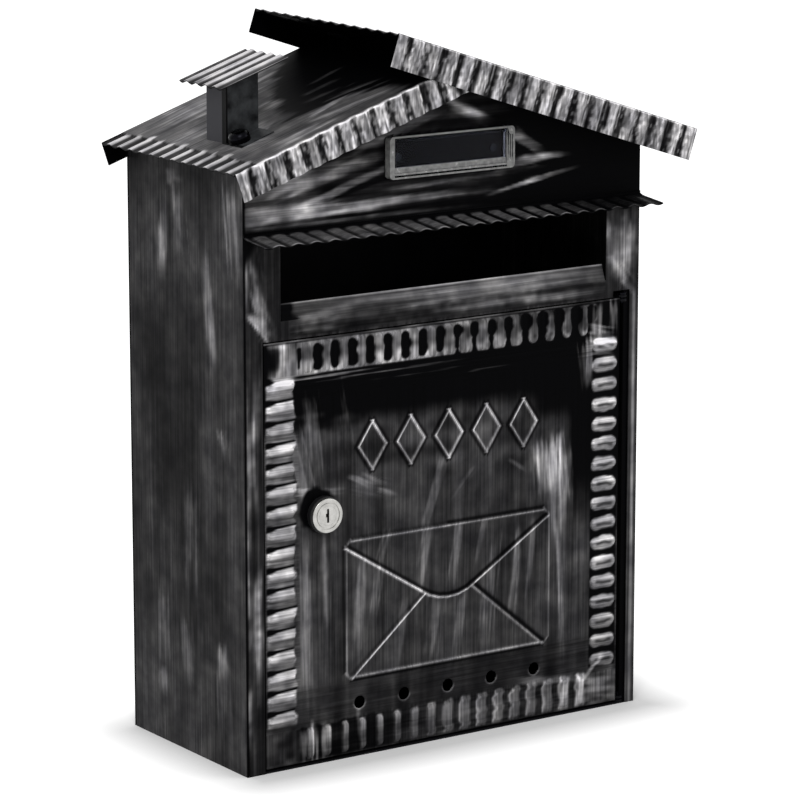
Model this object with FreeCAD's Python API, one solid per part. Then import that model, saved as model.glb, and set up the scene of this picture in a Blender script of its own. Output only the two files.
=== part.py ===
"""Wall mounted mailbox shaped as a small house, folded and pressed from thin steel sheet.

Built with the base on z = 0 and the back panel's outer face on y = 0, then moved as a
whole so that the origin is the centre of the four wall screw holes on the back.
X points right as seen from the front, Y points to the wall, Z points up. Millimetres.
"""
import FreeCAD
import Part
import math
import os

V = FreeCAD.Vector
os.makedirs("parts", exist_ok=True)

# ---- sheet and running clearances -------------------------------------------------
SHEET = 0.8            # thickness of every folded steel sheet
CLEAR = 0.3            # gap between pieces that move past each other
PIN_CLEAR = 0.05       # radial running clearance of a pin or plug in its hole
EPS = 1.0              # how far a cutting tool runs past what it cuts
PARALLEL = 0.001       # two directions or places count as the same

# ---- body -------------------------------------------------------------------------
BODY_W = 290.0
BODY_D = 132.0
STILE_LEFT = 12.7      # front strip beside the door, lock side
STILE_RIGHT = 6.8      # front strip beside the door, hinge side
STILE_RETURN = 14.5    # depth of the fold that the lock cam turns behind
RAIL_RETURN = 10.0     # depth of the fold above the door
SIDE_FLANGE = 10.0     # welding flange of a side panel
ROOF_FLANGE = 8.0      # welding flange below the roof
PAN_LIP = 11.0         # upturned lips of the floor
PAN_LIP_START = 26.0   # where the side lips of the floor begin, behind the front
STOP_HEIGHT = 10.0     # threshold that the door closes against
STOP_FOOT = 12.0
STOP_IN = 0.9          # from the door's free edge to the threshold
FLANGE_STOP = 3.2      # side flanges end this far below the roof

# ---- roof -------------------------------------------------------------------------
ROOF_PITCH = 18.4      # degrees
EAVE_H = 368.8         # top of both eaves above the base
EAVE_OUT_LEFT = 17.4
EAVE_OUT_RIGHT = 25.7
RIDGE_RUN = 51.5       # how far the right panel runs on past the ridge
ROOF_OUT_LEFT = 20.8   # how far the left panel stands in front of the body
ROOF_OUT_RIGHT = 24.5
FASCIA_LEFT = 18.0
FASCIA_RIGHT = 20.3
BACK_RETURN = 15.5     # plain fold behind the back panel
EAVE_BAND = 15.0       # length of the flutes at the eaves
FLUTE_PITCH = 12.7
FLUTE_RISE = 0.7       # half the depth of a flute

# ---- letter slot and its awning ---------------------------------------------------
SLOT_W = 239.2
SLOT_BELOW_EAVE = 40.2
SLOT_H = 43.6
SILL_BAND = 21.4       # from the door opening up to the slot
FLAP = 10.0            # top strip of the sill, bent inwards
FLAP_TILT = 20.0
FLAP_SLIT = 0.8
AWNING_OUT = 24.4
AWNING_DROOP = 5.6     # degrees
AWNING_TAB = 10.0

# ---- door -------------------------------------------------------------------------
DOOR_GAP_LEFT = 1.5
DOOR_GAP_RIGHT = 6.8
DOOR_GAP_TOP = 1.1
DOOR_SET_BACK = 1.0    # door skin behind the front of the body
DOOR_RETURN = 8.0      # depth of the door's folded edge
BEAD_L = 19.5          # pressed beads along the edge of the door
BEAD_W = 6.6
BEAD_H = 1.4
BEAD_EDGE = 1.6        # from the edge of the door to the end of a bead
CORNER = 22.0          # plain square in each corner of the door
BEAD_WALL = 1.2        # side wall of a bead
BEAD_FILLET = 1.0
PATTERN_SHIFT = 1.4    # the pressed pattern sits towards the hinge
PATTERN_LIFT = 0.55    # and a little above the door's middle
RIDGE_R = 1.8          # radius of a pressed line
RIDGE_H = 0.9          # how far a pressed line stands out
STEP_DROP = 26.0       # fine line below the top row of beads
STEP_START = 3.6       # from the door's free edge
STEP_R = 0.9
STEP_H = 0.4
ENVELOPE_W = 151.0
ENVELOPE_BOTTOM = 49.5
ENVELOPE_TOP = 135.5
ENVELOPE_CORNER = 4.0
FLAP_TIP = 90.5        # lowest point of the envelope's pressed flap
FLAP_TIP_W = 40.0      # width of its rounded tip
FLAP_TIP_RISE = 6.5
FLAP_TIP_STEPS = 6
SEAM_TOP = 94.5
LOZENGES = 5
LOZENGE_W = 21.0
LOZENGE_H = 31.0
LOZENGE_PITCH = 28.0
LOZENGE_DOWN = 70.0    # their middles below the door's top
VIEW_HOLES = 5
VIEW_HOLE_R = 4.0
VIEW_HOLE_PITCH = 32.7
VIEW_HOLE_UP = 33.5

# ---- hinge ------------------------------------------------------------------------
PIN_R = 1.5
PIN_OFF = 3.4          # hinge axis beyond the door's edge
PIN_DEPTH = 2.2        # hinge axis behind the door's face
LUG_T = 1.5
LUG_R = 3.0
LUG_L = 16.0           # how far a lug reaches into the door
PIN_HEAD_R = 2.9
PIN_HEAD_T = 1.3
PIN_TAIL = 2.4         # how far a pin runs on past its lug
PIN_CHAMFER = 0.5
BRACKET_T = 1.2
BRACKET_W = 12.0
BRACKET_LEG = 14.0
BRACKET_BEHIND = 0.1   # bracket behind the side panel's flange
NOTCH_W = 13.0         # cut-out in the front for the top hinge
NOTCH_H = 4.0
RIVET_R = 1.6
RIVET_HEAD_R = 3.2
RIVET_HEAD_H = 1.2
RIVET_HEAD_FILLET = 0.95
RIVET_TAIL_R = 2.6
RIVET_TAIL_H = 0.6
RIVET_SPREAD = 5.3     # between the two rivets of a bracket

# ---- cam lock ---------------------------------------------------------------------
LOCK_IN = 41.2         # from the door's free edge
LOCK_UP = 154.5
COLLAR_R = 11.3
COLLAR_T = 3.5
FACE_R = 10.6
FACE_T = 2.0
FACE_FILLET = 0.6
BARREL_R = 9.0
BARREL_FLATS = 16.0
BARREL_TAIL = 13.7     # barrel behind the door skin
NUT_AF = 22.0
NUT_T = 4.0
PLUG_R = 6.0
KEYWAY_L = 8.4
KEYWAY_T = 1.5
KEYWAY_DEPTH = 7.0
RING_R = 8.3           # groove turned in the lock's face
RING_W = 0.7
RING_DEPTH = 0.4
TAIL_SIDE = 6.5
CAM_T = 2.0
CAM_W = 14.0
CAM_REACH = 49.0
CAM_HUB_R = 8.5
CAM_FILLET = 3.5
CAM_SCREW_R = 2.0
CAM_SCREW_L = 10.0
CAM_HEAD_AF = 7.0
CAM_HEAD_T = 2.8
CAM_WASHER_R = 5.5
CAM_WASHER_T = 1.0

# ---- name plate holder ------------------------------------------------------------
PLATE_W = 91.0
PLATE_H = 25.5
PLATE_ABOVE = 37.2     # its middle above the slot
PLATE_OUT = 5.5
PLATE_BACK = 1.2
PLATE_RAIL = 3.4
PLATE_GRIP = 5.7       # thick end of the sliding window
PLATE_CORNER = 2.5
WINDOW_IN = 1.5        # window behind the front of its tray
WINDOW_T = 1.2
WINDOW_BITE = 1.4      # how deep the window sits in its grooves
GRIP_RIBS = 3
GRIP_RIB_W = 0.6
GRIP_RIB_H = 0.5
STUD_R = 1.2
STUD_HEAD_R = 2.4
STUD_HEAD_T = 1.0
STUD_IN = 8.0

# ---- chimney ----------------------------------------------------------------------
CHIMNEY_W = 22.3
CHIMNEY_D = 23.0
CHIMNEY_IN = 8.4       # left edge of its front plate from the side of the body
CHIMNEY_BACK_OFF = 31.0  # front plate behind the front of the body
CHIMNEY_LIP = 4.5      # side lips of the front plate
CHIMNEY_FOOT = 17.0
CHIMNEY_H = 40.0       # top of the cap above the roof
CAP_W = 46.0
CAP_D = 47.0
CAP_PITCH = 10.5
CAP_RISE = 0.8
CAP_SHIFT_X = 0.9      # cap to the right of the chimney's middle
CAP_SHIFT_Y = 1.2      # and towards the front
BOLT_IN = 5.6          # bolt from the left edge of the foot
BOLT_R = 2.5
BOLT_HEAD_R = 6.6
BOLT_HEAD_H = 6.6
BOLT_HEAD_FILLET = 4.0
BOLT_FRONT = 7.0       # bolt in front of the chimney
BOLT_NUT_AF = 8.0
BOLT_NUT_T = 4.0
BOLT_END = 2.0

# ---- wall fixing ------------------------------------------------------------------
WALL_HOLE_R = 3.5
WALL_SPAN_X = 180.0
WALL_SPAN_Z = 120.0
WALL_UP = 180.0        # height of the pattern's centre above the base

# ---- places worked out from the sizes above ---------------------------------------
HALF_W = BODY_W / 2
INNER_X = HALF_W - SHEET
FRONT_Y = -BODY_D
INNER_FRONT_Y = FRONT_Y + SHEET
INNER_BACK_Y = -SHEET
SLOPE = math.tan(math.radians(ROOF_PITCH))
COS_PITCH = math.cos(math.radians(ROOF_PITCH))
SHEET_RISE = SHEET / COS_PITCH
EAVE_X_LEFT = -HALF_W - EAVE_OUT_LEFT
EAVE_X_RIGHT = HALF_W + EAVE_OUT_RIGHT

SLOT_TOP = EAVE_H - SLOT_BELOW_EAVE
SLOT_SILL = SLOT_TOP - SLOT_H
DOOR_OPEN_TOP = SLOT_SILL - SILL_BAND
OPEN_LEFT = -HALF_W + STILE_LEFT
OPEN_RIGHT = HALF_W - STILE_RIGHT
DOOR_LEFT = OPEN_LEFT + DOOR_GAP_LEFT
DOOR_RIGHT = OPEN_RIGHT - DOOR_GAP_RIGHT
BRACKET_BOTTOM_Z = SHEET
DOOR_BOTTOM = BRACKET_BOTTOM_Z + BRACKET_T + CLEAR
DOOR_TOP = DOOR_OPEN_TOP - DOOR_GAP_TOP
DOOR_Y = FRONT_Y + DOOR_SET_BACK
DOOR_INNER_Y = DOOR_Y + SHEET
DOOR_BACK_Y = DOOR_Y + DOOR_RETURN
LOZENGE_UP = DOOR_TOP - LOZENGE_DOWN
PATTERN_X = (DOOR_LEFT + DOOR_RIGHT) / 2 + PATTERN_SHIFT
PATTERN_Z = (DOOR_BOTTOM + DOOR_TOP) / 2 + PATTERN_LIFT

HINGE_X = DOOR_RIGHT + PIN_OFF
HINGE_Y = DOOR_Y + PIN_DEPTH
LUG_TOP_Z = DOOR_TOP - SHEET - LUG_T
LUG_BOTTOM_Z = DOOR_BOTTOM + SHEET
BRACKET_TOP_Z = DOOR_TOP + CLEAR
BRACKET_Y = INNER_FRONT_Y + SHEET + BRACKET_BEHIND

LOCK_X = DOOR_LEFT + LOCK_IN
LOCK_FACE_Y = DOOR_Y - COLLAR_T - FACE_T
BARREL_END_Y = DOOR_INNER_Y + BARREL_TAIL
CAM_Y = BARREL_END_Y + CLEAR

PLATE_UP = SLOT_TOP + PLATE_ABOVE
PLATE_BOTTOM = PLATE_UP - PLATE_H / 2
PLATE_TOP = PLATE_UP + PLATE_H / 2
BASE_RIGHT = PLATE_W / 2 - PLATE_GRIP - CLEAR
WINDOW_Y = FRONT_Y - PLATE_OUT + WINDOW_IN

CHIMNEY_LEFT = -HALF_W + CHIMNEY_IN
CHIMNEY_RIGHT = CHIMNEY_LEFT + CHIMNEY_W
CHIMNEY_Y = FRONT_Y + CHIMNEY_BACK_OFF
BOLT_X = CHIMNEY_LEFT + BOLT_IN
BOLT_Y = CHIMNEY_Y - BOLT_FRONT
CAP_X = (CHIMNEY_LEFT + CHIMNEY_RIGHT) / 2 + CAP_SHIFT_X
CAP_Y = CHIMNEY_Y + CHIMNEY_D / 2 - CAP_SHIFT_Y


def save(name, shape):
    """Move a finished piece into the part's frame and write it as one node."""
    moved = shape.copy()
    moved.translate(V(0, 0, -WALL_UP))
    moved.exportStep("parts/" + name + ".step")


def block(x0, x1, y0, y1, z0, z1):
    """Box between two opposite corners."""
    return Part.makeBox(x1 - x0, y1 - y0, z1 - z0, V(x0, y0, z0))


def fuse(shapes):
    """Join shapes into one clean solid."""
    joined = shapes[0].multiFuse(shapes[1:])
    return joined.removeSplitter()


def plate_xz(points, y0, y1):
    """Flat outline in the XZ plane given a thickness along Y."""
    wire = Part.makePolygon([V(x, y0, z) for x, z in points] + [V(points[0][0], y0, points[0][1])])
    return Part.Face(wire).extrude(V(0, y1 - y0, 0))


def rod(x, y, z, radius, length, direction):
    """Round bar from a point along a direction."""
    return Part.makeCylinder(radius, length, V(x, y, z), direction)


def hex_bar(across_flats, x, y, z, length):
    """Hexagonal bar along +Y."""
    corner = across_flats / 2 / math.cos(math.radians(30))
    angles = [math.radians(60 * step) for step in range(7)]
    wire = Part.makePolygon([V(x + corner * math.cos(a), y, z + corner * math.sin(a)) for a in angles])
    return Part.Face(wire).extrude(V(0, length, 0))


def roof_left(x):
    """Height of the left roof panel's top surface."""
    return EAVE_H + SLOPE * (x - EAVE_X_LEFT)


def roof_right(x):
    """Height of the right roof panel's top surface."""
    return EAVE_H - SLOPE * (x - EAVE_X_RIGHT)


def under_left(x):
    return roof_left(x) - SHEET_RISE


def under_right(x):
    return roof_right(x) - SHEET_RISE


def sloped(x0, x1, y0, y1, low, high):
    """Wall between two heights that change with x."""
    points = [(x0, low(x0)), (x1, low(x1)), (x1, high(x1)), (x0, high(x0))]
    return plate_xz(points, y0, y1)


# ---- corrugated sheet ---------------------------------------------------------------
def wave_edges(length, pitch, rise, base):
    """Row of tangent arcs along +X that swings to both sides of y = base."""
    halves = 2 * round((2 * length / pitch - 1) / 2) + 1
    step = length / halves
    edges = []
    for i in range(halves):
        side = -rise if i % 2 == 0 else rise
        start = V(i * step, base, 0)
        middle = V((i + 0.5) * step, base + side, 0)
        end = V((i + 1) * step, base, 0)
        edges.append(Part.Arc(start, middle, end).toShape())
    return edges


def wave_strip(length, pitch, rise, width):
    """Corrugated strip: waves along X, one face on y = 0 and one on y = SHEET, up +Z by width."""
    outer = wave_edges(length, pitch, rise, 0)
    inner = wave_edges(length, pitch, rise, SHEET)
    ends = [Part.makeLine(V(x, 0, 0), V(x, SHEET, 0)) for x in (0, length)]
    wire = Part.Wire(Part.__sortEdges__(outer + inner + ends))
    return Part.Face(wire).extrude(V(0, 0, width))


def wave_plate(length, pitch, rise, depth):
    """Flat plate with a wavy front edge on y = 0 and a straight back edge on y = depth."""
    front = wave_edges(length, pitch, rise, 0)
    rest = [Part.makeLine(V(length, 0, 0), V(length, depth, 0)),
            Part.makeLine(V(length, depth, 0), V(0, depth, 0)),
            Part.makeLine(V(0, depth, 0), V(0, 0, 0))]
    wire = Part.Wire(Part.__sortEdges__(front + rest))
    return Part.Face(wire).extrude(V(0, 0, SHEET))


def turned(shape, axis, angle):
    """Copy turned about an axis through the origin."""
    copy = shape.copy()
    copy.rotate(V(0, 0, 0), axis, angle)
    return copy


def moved(shape, x, y, z):
    copy = shape.copy()
    copy.translate(V(x, y, z))
    return copy


def edges_along_y(shape):
    """Straight edges that run from front to back."""
    return [edge for edge in shape.Edges
            if isinstance(edge.Curve, Part.Line) and abs(edge.Curve.Direction.y) > 1 - PARALLEL]


# ---- body ---------------------------------------------------------------------------
def roof_seats(y0, y1):
    """Two sloped flanges that the roof panels are welded to."""
    reach = INNER_X - CLEAR
    left = sloped(-reach, -SHEET, y0, y1, lambda x: under_left(x) - SHEET_RISE, under_left)
    right = sloped(SHEET, reach, y0, y1, lambda x: under_right(x) - SHEET_RISE, under_right)
    return [left, right]


def gable_outline(bottom):
    """House outline that ends below the two roof panels."""
    return [(-HALF_W, bottom), (HALF_W, bottom), (HALF_W, under_right(HALF_W)),
            (0, under_right(0)), (0, under_left(0)), (-HALF_W, under_left(-HALF_W))]


def slot_flap():
    """Strip at the top of the sill, cut free at both ends and bent inwards."""
    reach = SLOT_W / 2 - FLAP_SLIT
    bend = SLOT_SILL - FLAP
    flap = block(-reach, reach, 0, SHEET, -SHEET, FLAP / math.cos(math.radians(FLAP_TILT)))
    flap.rotate(V(0, 0, 0), V(1, 0, 0), -FLAP_TILT)
    return moved(flap, 0, FRONT_Y, bend)


def front_panel():
    panel = plate_xz(gable_outline(0), FRONT_Y, INNER_FRONT_Y)
    y0, y1 = FRONT_Y - EPS, INNER_FRONT_Y + EPS
    slot = block(-SLOT_W / 2, SLOT_W / 2, y0, y1, SLOT_SILL - FLAP, SLOT_TOP)
    doorway = block(OPEN_LEFT, OPEN_RIGHT, y0, y1, -EPS, DOOR_OPEN_TOP)
    notch = block(OPEN_RIGHT - NOTCH_W, OPEN_RIGHT, y0, y1, DOOR_OPEN_TOP - EPS, DOOR_OPEN_TOP + NOTCH_H)
    studs = [rod(x, y0, PLATE_UP, STUD_R + PIN_CLEAR, y1 - y0, V(0, 1, 0)) for x in stud_places()]
    panel = panel.cut([slot, doorway, notch] + studs)
    stile = block(OPEN_LEFT - SHEET, OPEN_LEFT, FRONT_Y, FRONT_Y + STILE_RETURN, SHEET, DOOR_OPEN_TOP)
    rail = block(OPEN_LEFT - SHEET, OPEN_RIGHT - NOTCH_W, FRONT_Y, FRONT_Y + RAIL_RETURN,
                 DOOR_OPEN_TOP, DOOR_OPEN_TOP + SHEET)
    seats = roof_seats(FRONT_Y, INNER_FRONT_Y + ROOF_FLANGE)
    return fuse([panel, slot_flap(), stile, rail] + seats)


def wall_hole_places():
    return [(x, z) for x in (-WALL_SPAN_X / 2, WALL_SPAN_X / 2)
            for z in (WALL_UP - WALL_SPAN_Z / 2, WALL_UP + WALL_SPAN_Z / 2)]


def back_panel():
    panel = plate_xz(gable_outline(0), INNER_BACK_Y, 0)
    seats = roof_seats(INNER_BACK_Y - ROOF_FLANGE, 0)
    panel = fuse([panel] + seats)
    holes = [rod(x, -SHEET - EPS, z, WALL_HOLE_R, SHEET + 2 * EPS, V(0, 1, 0))
             for x, z in wall_hole_places()]
    return panel.cut(holes)


def side_panel(side, under, front_reach):
    """Side sheet with an inward flange at the front and the back; side is -1 or 1."""
    outer, inner = side * HALF_W, side * INNER_X
    web = sloped(min(outer, inner), max(outer, inner), INNER_FRONT_Y, INNER_BACK_Y, lambda x: 0, under)
    top = under(side * HALF_W) - FLANGE_STOP
    front_end = side * (HALF_W - front_reach)
    back_end = side * (INNER_X - SIDE_FLANGE)
    front = block(min(outer, front_end), max(outer, front_end), INNER_FRONT_Y, INNER_FRONT_Y + SHEET, SHEET, top)
    back = block(min(outer, back_end), max(outer, back_end), INNER_BACK_Y - SHEET, INNER_BACK_Y, SHEET, top)
    return fuse([web, front, back])


def side_left():
    return side_panel(-1, under_left, STILE_LEFT - SHEET - CLEAR)


def side_right():
    panel = side_panel(1, under_right, STILE_RIGHT - SHEET)
    holes = [rod(INNER_X - EPS, y, z, RIVET_R + PIN_CLEAR, SHEET + 2 * EPS, V(1, 0, 0))
             for y, z in rivet_places()]
    return panel.cut(holes)


def floor_pan():
    """Floor whose front edge shows below the door, with lips at the sides and the back."""
    floor = block(-INNER_X, INNER_X, INNER_FRONT_Y, INNER_BACK_Y, 0, SHEET)
    sill = block(OPEN_LEFT, OPEN_RIGHT, FRONT_Y, INNER_FRONT_Y, 0, SHEET)
    start, end = FRONT_Y + PAN_LIP_START, INNER_BACK_Y - SHEET - CLEAR
    lip_left = block(-INNER_X, -INNER_X + SHEET, start, end, 0, PAN_LIP)
    lip_right = block(INNER_X - SHEET, INNER_X, start, end, 0, PAN_LIP)
    back_end = INNER_X - SIDE_FLANGE - CLEAR
    lip_back = block(-back_end, back_end, INNER_BACK_Y - SHEET, INNER_BACK_Y, 0, PAN_LIP)
    return fuse([floor, sill, lip_left, lip_right, lip_back])


def threshold():
    """Angle on the floor that the closed door rests against."""
    left, right = DOOR_LEFT + STOP_IN, HINGE_X - LUG_L
    y = DOOR_BACK_Y + CLEAR
    foot = block(left, right, y, y + STOP_FOOT, SHEET, 2 * SHEET)
    wall = block(left, right, y, y + SHEET, SHEET, SHEET + STOP_HEIGHT)
    return fuse([foot, wall])


# ---- roof ---------------------------------------------------------------------------
def eave_band(length, depth):
    """Flutes in the plane of the roof, pressed down from its surface."""
    strip = wave_strip(depth, FLUTE_PITCH, FLUTE_RISE, length)
    strip = turned(strip, V(1, 1, 1), 120)
    return moved(strip, 0, 0, -SHEET - FLUTE_RISE)


def roof_panel(length, front, back, fascia, bands):
    """Roof sheet lying flat: X runs up the slope from the eave, Y to the back, top on z = 0."""
    depth = back - front
    pieces = []
    start = EAVE_BAND
    end = length - EAVE_BAND if bands == 2 else length
    plate = wave_plate(length, FLUTE_PITCH, FLUTE_RISE, depth)
    keep = block(start, end, -2 * FLUTE_RISE, depth, 0, SHEET)
    pieces.append(moved(plate.common(keep), 0, 0, -SHEET))
    fall = SHEET + 2 * FLUTE_RISE
    for at in ([0, end] if bands == 2 else [0]):
        pieces.append(moved(eave_band(EAVE_BAND, depth), at, 0, 0))
    for at in ([start, end - SHEET] if bands == 2 else [start]):
        pieces.append(block(at, at + SHEET, 0, depth, -fall, 0))
    strip = wave_strip(length, FLUTE_PITCH, FLUTE_RISE, fascia)
    pieces.append(moved(strip, 0, 0, -fascia))
    pieces.append(block(0, length, depth - SHEET, depth, -BACK_RETURN, -FLUTE_RISE))
    pieces.append(block(start, end, depth - SHEET, depth, -BACK_RETURN, 0))
    return moved(fuse(pieces), 0, front, 0)


def roof_left_panel():
    length = -EAVE_X_LEFT / COS_PITCH - SHEET
    flat = roof_panel(length, FRONT_Y - ROOF_OUT_LEFT, SHEET, FASCIA_LEFT, 1)
    panel = moved(turned(flat, V(0, 1, 0), -ROOF_PITCH), EAVE_X_LEFT, 0, EAVE_H)
    return panel.cut(bolt_hole())


def roof_right_panel():
    length = (EAVE_X_RIGHT + RIDGE_RUN) / COS_PITCH
    flat = roof_panel(length, FRONT_Y - ROOF_OUT_RIGHT, 2 * SHEET, FASCIA_RIGHT, 2)
    mirrored = flat.mirror(V(0, 0, 0), V(1, 0, 0))
    return moved(turned(mirrored, V(0, 1, 0), ROOF_PITCH), EAVE_X_RIGHT, 0, EAVE_H)


def awning():
    """Fluted canopy over the slot, hooked through it and folded up behind the front."""
    out = AWNING_OUT / math.cos(math.radians(AWNING_DROOP))
    strip = wave_strip(BODY_W, FLUTE_PITCH, FLUTE_RISE, out)
    strip = turned(turned(strip, V(1, 0, 0), 90), V(1, 0, 0), AWNING_DROOP)
    strip = moved(strip, -HALF_W, FRONT_Y, SLOT_TOP - SHEET - FLUTE_RISE)
    rail = block(-HALF_W, HALF_W, FRONT_Y - SHEET, FRONT_Y, SLOT_TOP - SHEET - 2 * FLUTE_RISE, SLOT_TOP + SHEET)
    reach = SLOT_W / 2 - CLEAR
    back = INNER_FRONT_Y + SHEET
    tab = block(-reach, reach, FRONT_Y - SHEET, back, SLOT_TOP - SHEET, SLOT_TOP)
    fold = block(-reach, reach, INNER_FRONT_Y, back, SLOT_TOP - SHEET, SLOT_TOP + AWNING_TAB)
    inside = block(-HALF_W, HALF_W, FRONT_Y, 0, 0, SLOT_TOP - SHEET)
    return fuse([strip.cut(inside), rail, tab, fold])


# ---- chimney ------------------------------------------------------------------------
def cap_under(x):
    """Underside of the chimney cap."""
    return roof_left(x) + CHIMNEY_H - SHEET_RISE - 2 * CAP_RISE / COS_PITCH


def foot_top(x):
    return roof_left(x) + SHEET_RISE


def bolt_hole():
    return rod_on_roof(BOLT_R + PIN_CLEAR, -BOLT_NUT_T, BOLT_NUT_T)


def rod_on_roof(radius, start, end):
    """Round bar square to the left roof at the chimney's bolt, between two heights above it."""
    normal = V(-math.sin(math.radians(ROOF_PITCH)), 0, COS_PITCH)
    foot = V(BOLT_X, BOLT_Y, roof_left(BOLT_X)) + normal * start
    return Part.makeCylinder(radius, end - start, foot, normal)


def chimney_front():
    """Front plate with two side lips and the foot that carries the bolt."""
    x0, x1 = CHIMNEY_LEFT, CHIMNEY_RIGHT
    plate = sloped(x0, x1, CHIMNEY_Y, CHIMNEY_Y + SHEET, roof_left, cap_under)
    lips = [sloped(x, x + SHEET, CHIMNEY_Y, CHIMNEY_Y + CHIMNEY_LIP, roof_left, cap_under)
            for x in (x0, x1 - SHEET)]
    foot = sloped(x0, x1, CHIMNEY_Y - CHIMNEY_FOOT, CHIMNEY_Y, roof_left, foot_top)
    return fuse([plate, foot] + lips).cut(bolt_hole())


def chimney_box():
    """Channel that closes the sides and the back, tucked inside the front plate's lips."""
    x0, x1 = CHIMNEY_LEFT + SHEET, CHIMNEY_RIGHT - SHEET
    y0, y1 = CHIMNEY_Y + SHEET, CHIMNEY_Y + CHIMNEY_D
    cheeks = [sloped(x, x + SHEET, y0, y1, roof_left, cap_under) for x in (x0, x1 - SHEET)]
    back = sloped(x0, x1, y1 - SHEET, y1, roof_left, cap_under)
    return fuse(cheeks + [back])


def chimney_cap():
    """Fluted cap parallel to the roof."""
    strip = wave_strip(CAP_D, CAP_PITCH, CAP_RISE, CAP_W / COS_PITCH)
    strip = turned(strip, V(1, 1, 1), 120)
    strip = turned(moved(strip, 0, 0, CAP_RISE), V(0, 1, 0), -ROOF_PITCH)
    x = CAP_X - CAP_W / 2
    return moved(strip, x, CAP_Y - CAP_D / 2, cap_under(x))


def chimney_bolt():
    """Domed bolt through the chimney's foot and the roof."""
    top = SHEET
    head = rod_on_roof(BOLT_HEAD_R, top, top + BOLT_HEAD_H)
    rim = [edge for edge in head.Edges if edge.Closed]
    rim.sort(key=lambda edge: edge.CenterOfMass.z)
    head = head.makeFillet(BOLT_HEAD_FILLET, [rim[-1]])
    shank = rod_on_roof(BOLT_R, -SHEET - BOLT_NUT_T - BOLT_END, top)
    return fuse([head, shank])


def chimney_nut():
    nut = hex_bar(BOLT_NUT_AF, 0, 0, 0, BOLT_NUT_T)
    nut = nut.cut(rod(0, -EPS, 0, BOLT_R + PIN_CLEAR, BOLT_NUT_T + 2 * EPS, V(0, 1, 0)))
    nut = turned(turned(nut, V(1, 0, 0), 90), V(0, 1, 0), -ROOF_PITCH)
    normal = V(-math.sin(math.radians(ROOF_PITCH)), 0, COS_PITCH)
    place = V(BOLT_X, BOLT_Y, roof_left(BOLT_X)) - normal * (SHEET + BOLT_NUT_T)
    return moved(nut, place.x, place.y, place.z)


# ---- name plate holder --------------------------------------------------------------
def stud_places():
    return [-PLATE_W / 2 + STUD_IN, BASE_RIGHT - STUD_IN]


def plate_base():
    """Clear plastic tray with a groove above and below for the sliding window."""
    left = -PLATE_W / 2
    tray = block(left, BASE_RIGHT, FRONT_Y - PLATE_OUT, FRONT_Y, PLATE_BOTTOM, PLATE_TOP)
    corners = [edge for edge in edges_along_y(tray) if edge.CenterOfMass.x < left + CLEAR]
    tray = tray.makeFillet(PLATE_CORNER, corners)
    view = block(left + PLATE_RAIL, BASE_RIGHT + EPS, FRONT_Y - PLATE_OUT - EPS, FRONT_Y - PLATE_BACK,
                 PLATE_BOTTOM + PLATE_RAIL, PLATE_TOP - PLATE_RAIL)
    groove = block(left + PLATE_RAIL - WINDOW_BITE, BASE_RIGHT + EPS, WINDOW_Y - CLEAR,
                   WINDOW_Y + WINDOW_T + CLEAR,
                   PLATE_BOTTOM + PLATE_RAIL - WINDOW_BITE - CLEAR, PLATE_TOP - PLATE_RAIL + WINDOW_BITE + CLEAR)
    studs = [rod(x, FRONT_Y - PLATE_BACK - EPS, PLATE_UP, STUD_R + PIN_CLEAR, PLATE_BACK + 2 * EPS, V(0, 1, 0))
             for x in stud_places()]
    return tray.cut([view, groove] + studs)


def plate_window():
    """Clear window that slides out to the right, with a ribbed grip at its end."""
    pane = block(-PLATE_W / 2 + PLATE_RAIL - WINDOW_BITE + CLEAR, PLATE_W / 2 - PLATE_GRIP, WINDOW_Y,
                 WINDOW_Y + WINDOW_T, PLATE_BOTTOM + PLATE_RAIL - WINDOW_BITE,
                 PLATE_TOP - PLATE_RAIL + WINDOW_BITE)
    y0 = FRONT_Y - PLATE_OUT
    grip = block(PLATE_W / 2 - PLATE_GRIP, PLATE_W / 2, y0, FRONT_Y - CLEAR, PLATE_BOTTOM, PLATE_TOP)
    corners = [edge for edge in edges_along_y(grip) if edge.CenterOfMass.x > PLATE_W / 2 - CLEAR]
    grip = grip.makeFillet(PLATE_CORNER, corners)
    step = PLATE_GRIP / (GRIP_RIBS + 1)
    ribs = []
    for i in range(GRIP_RIBS):
        x = PLATE_W / 2 - step * (i + 1)
        ribs.append(block(x - GRIP_RIB_W / 2, x + GRIP_RIB_W / 2, y0 - GRIP_RIB_H, y0,
                          PLATE_BOTTOM + 2 * PLATE_CORNER, PLATE_TOP - 2 * PLATE_CORNER))
    return fuse([pane, grip] + ribs)


def plate_studs():
    """Two plastic studs that hold the tray on the gable."""
    studs = []
    for x in stud_places():
        shank = rod(x, FRONT_Y - PLATE_BACK, PLATE_UP, STUD_R, PLATE_BACK + SHEET, V(0, 1, 0))
        outer = rod(x, FRONT_Y - PLATE_BACK - STUD_HEAD_T, PLATE_UP, STUD_HEAD_R, STUD_HEAD_T, V(0, 1, 0))
        inner = rod(x, INNER_FRONT_Y, PLATE_UP, STUD_HEAD_R, STUD_HEAD_T, V(0, 1, 0))
        studs.append(fuse([shank, outer, inner]))
    return Part.makeCompound(studs)


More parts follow.
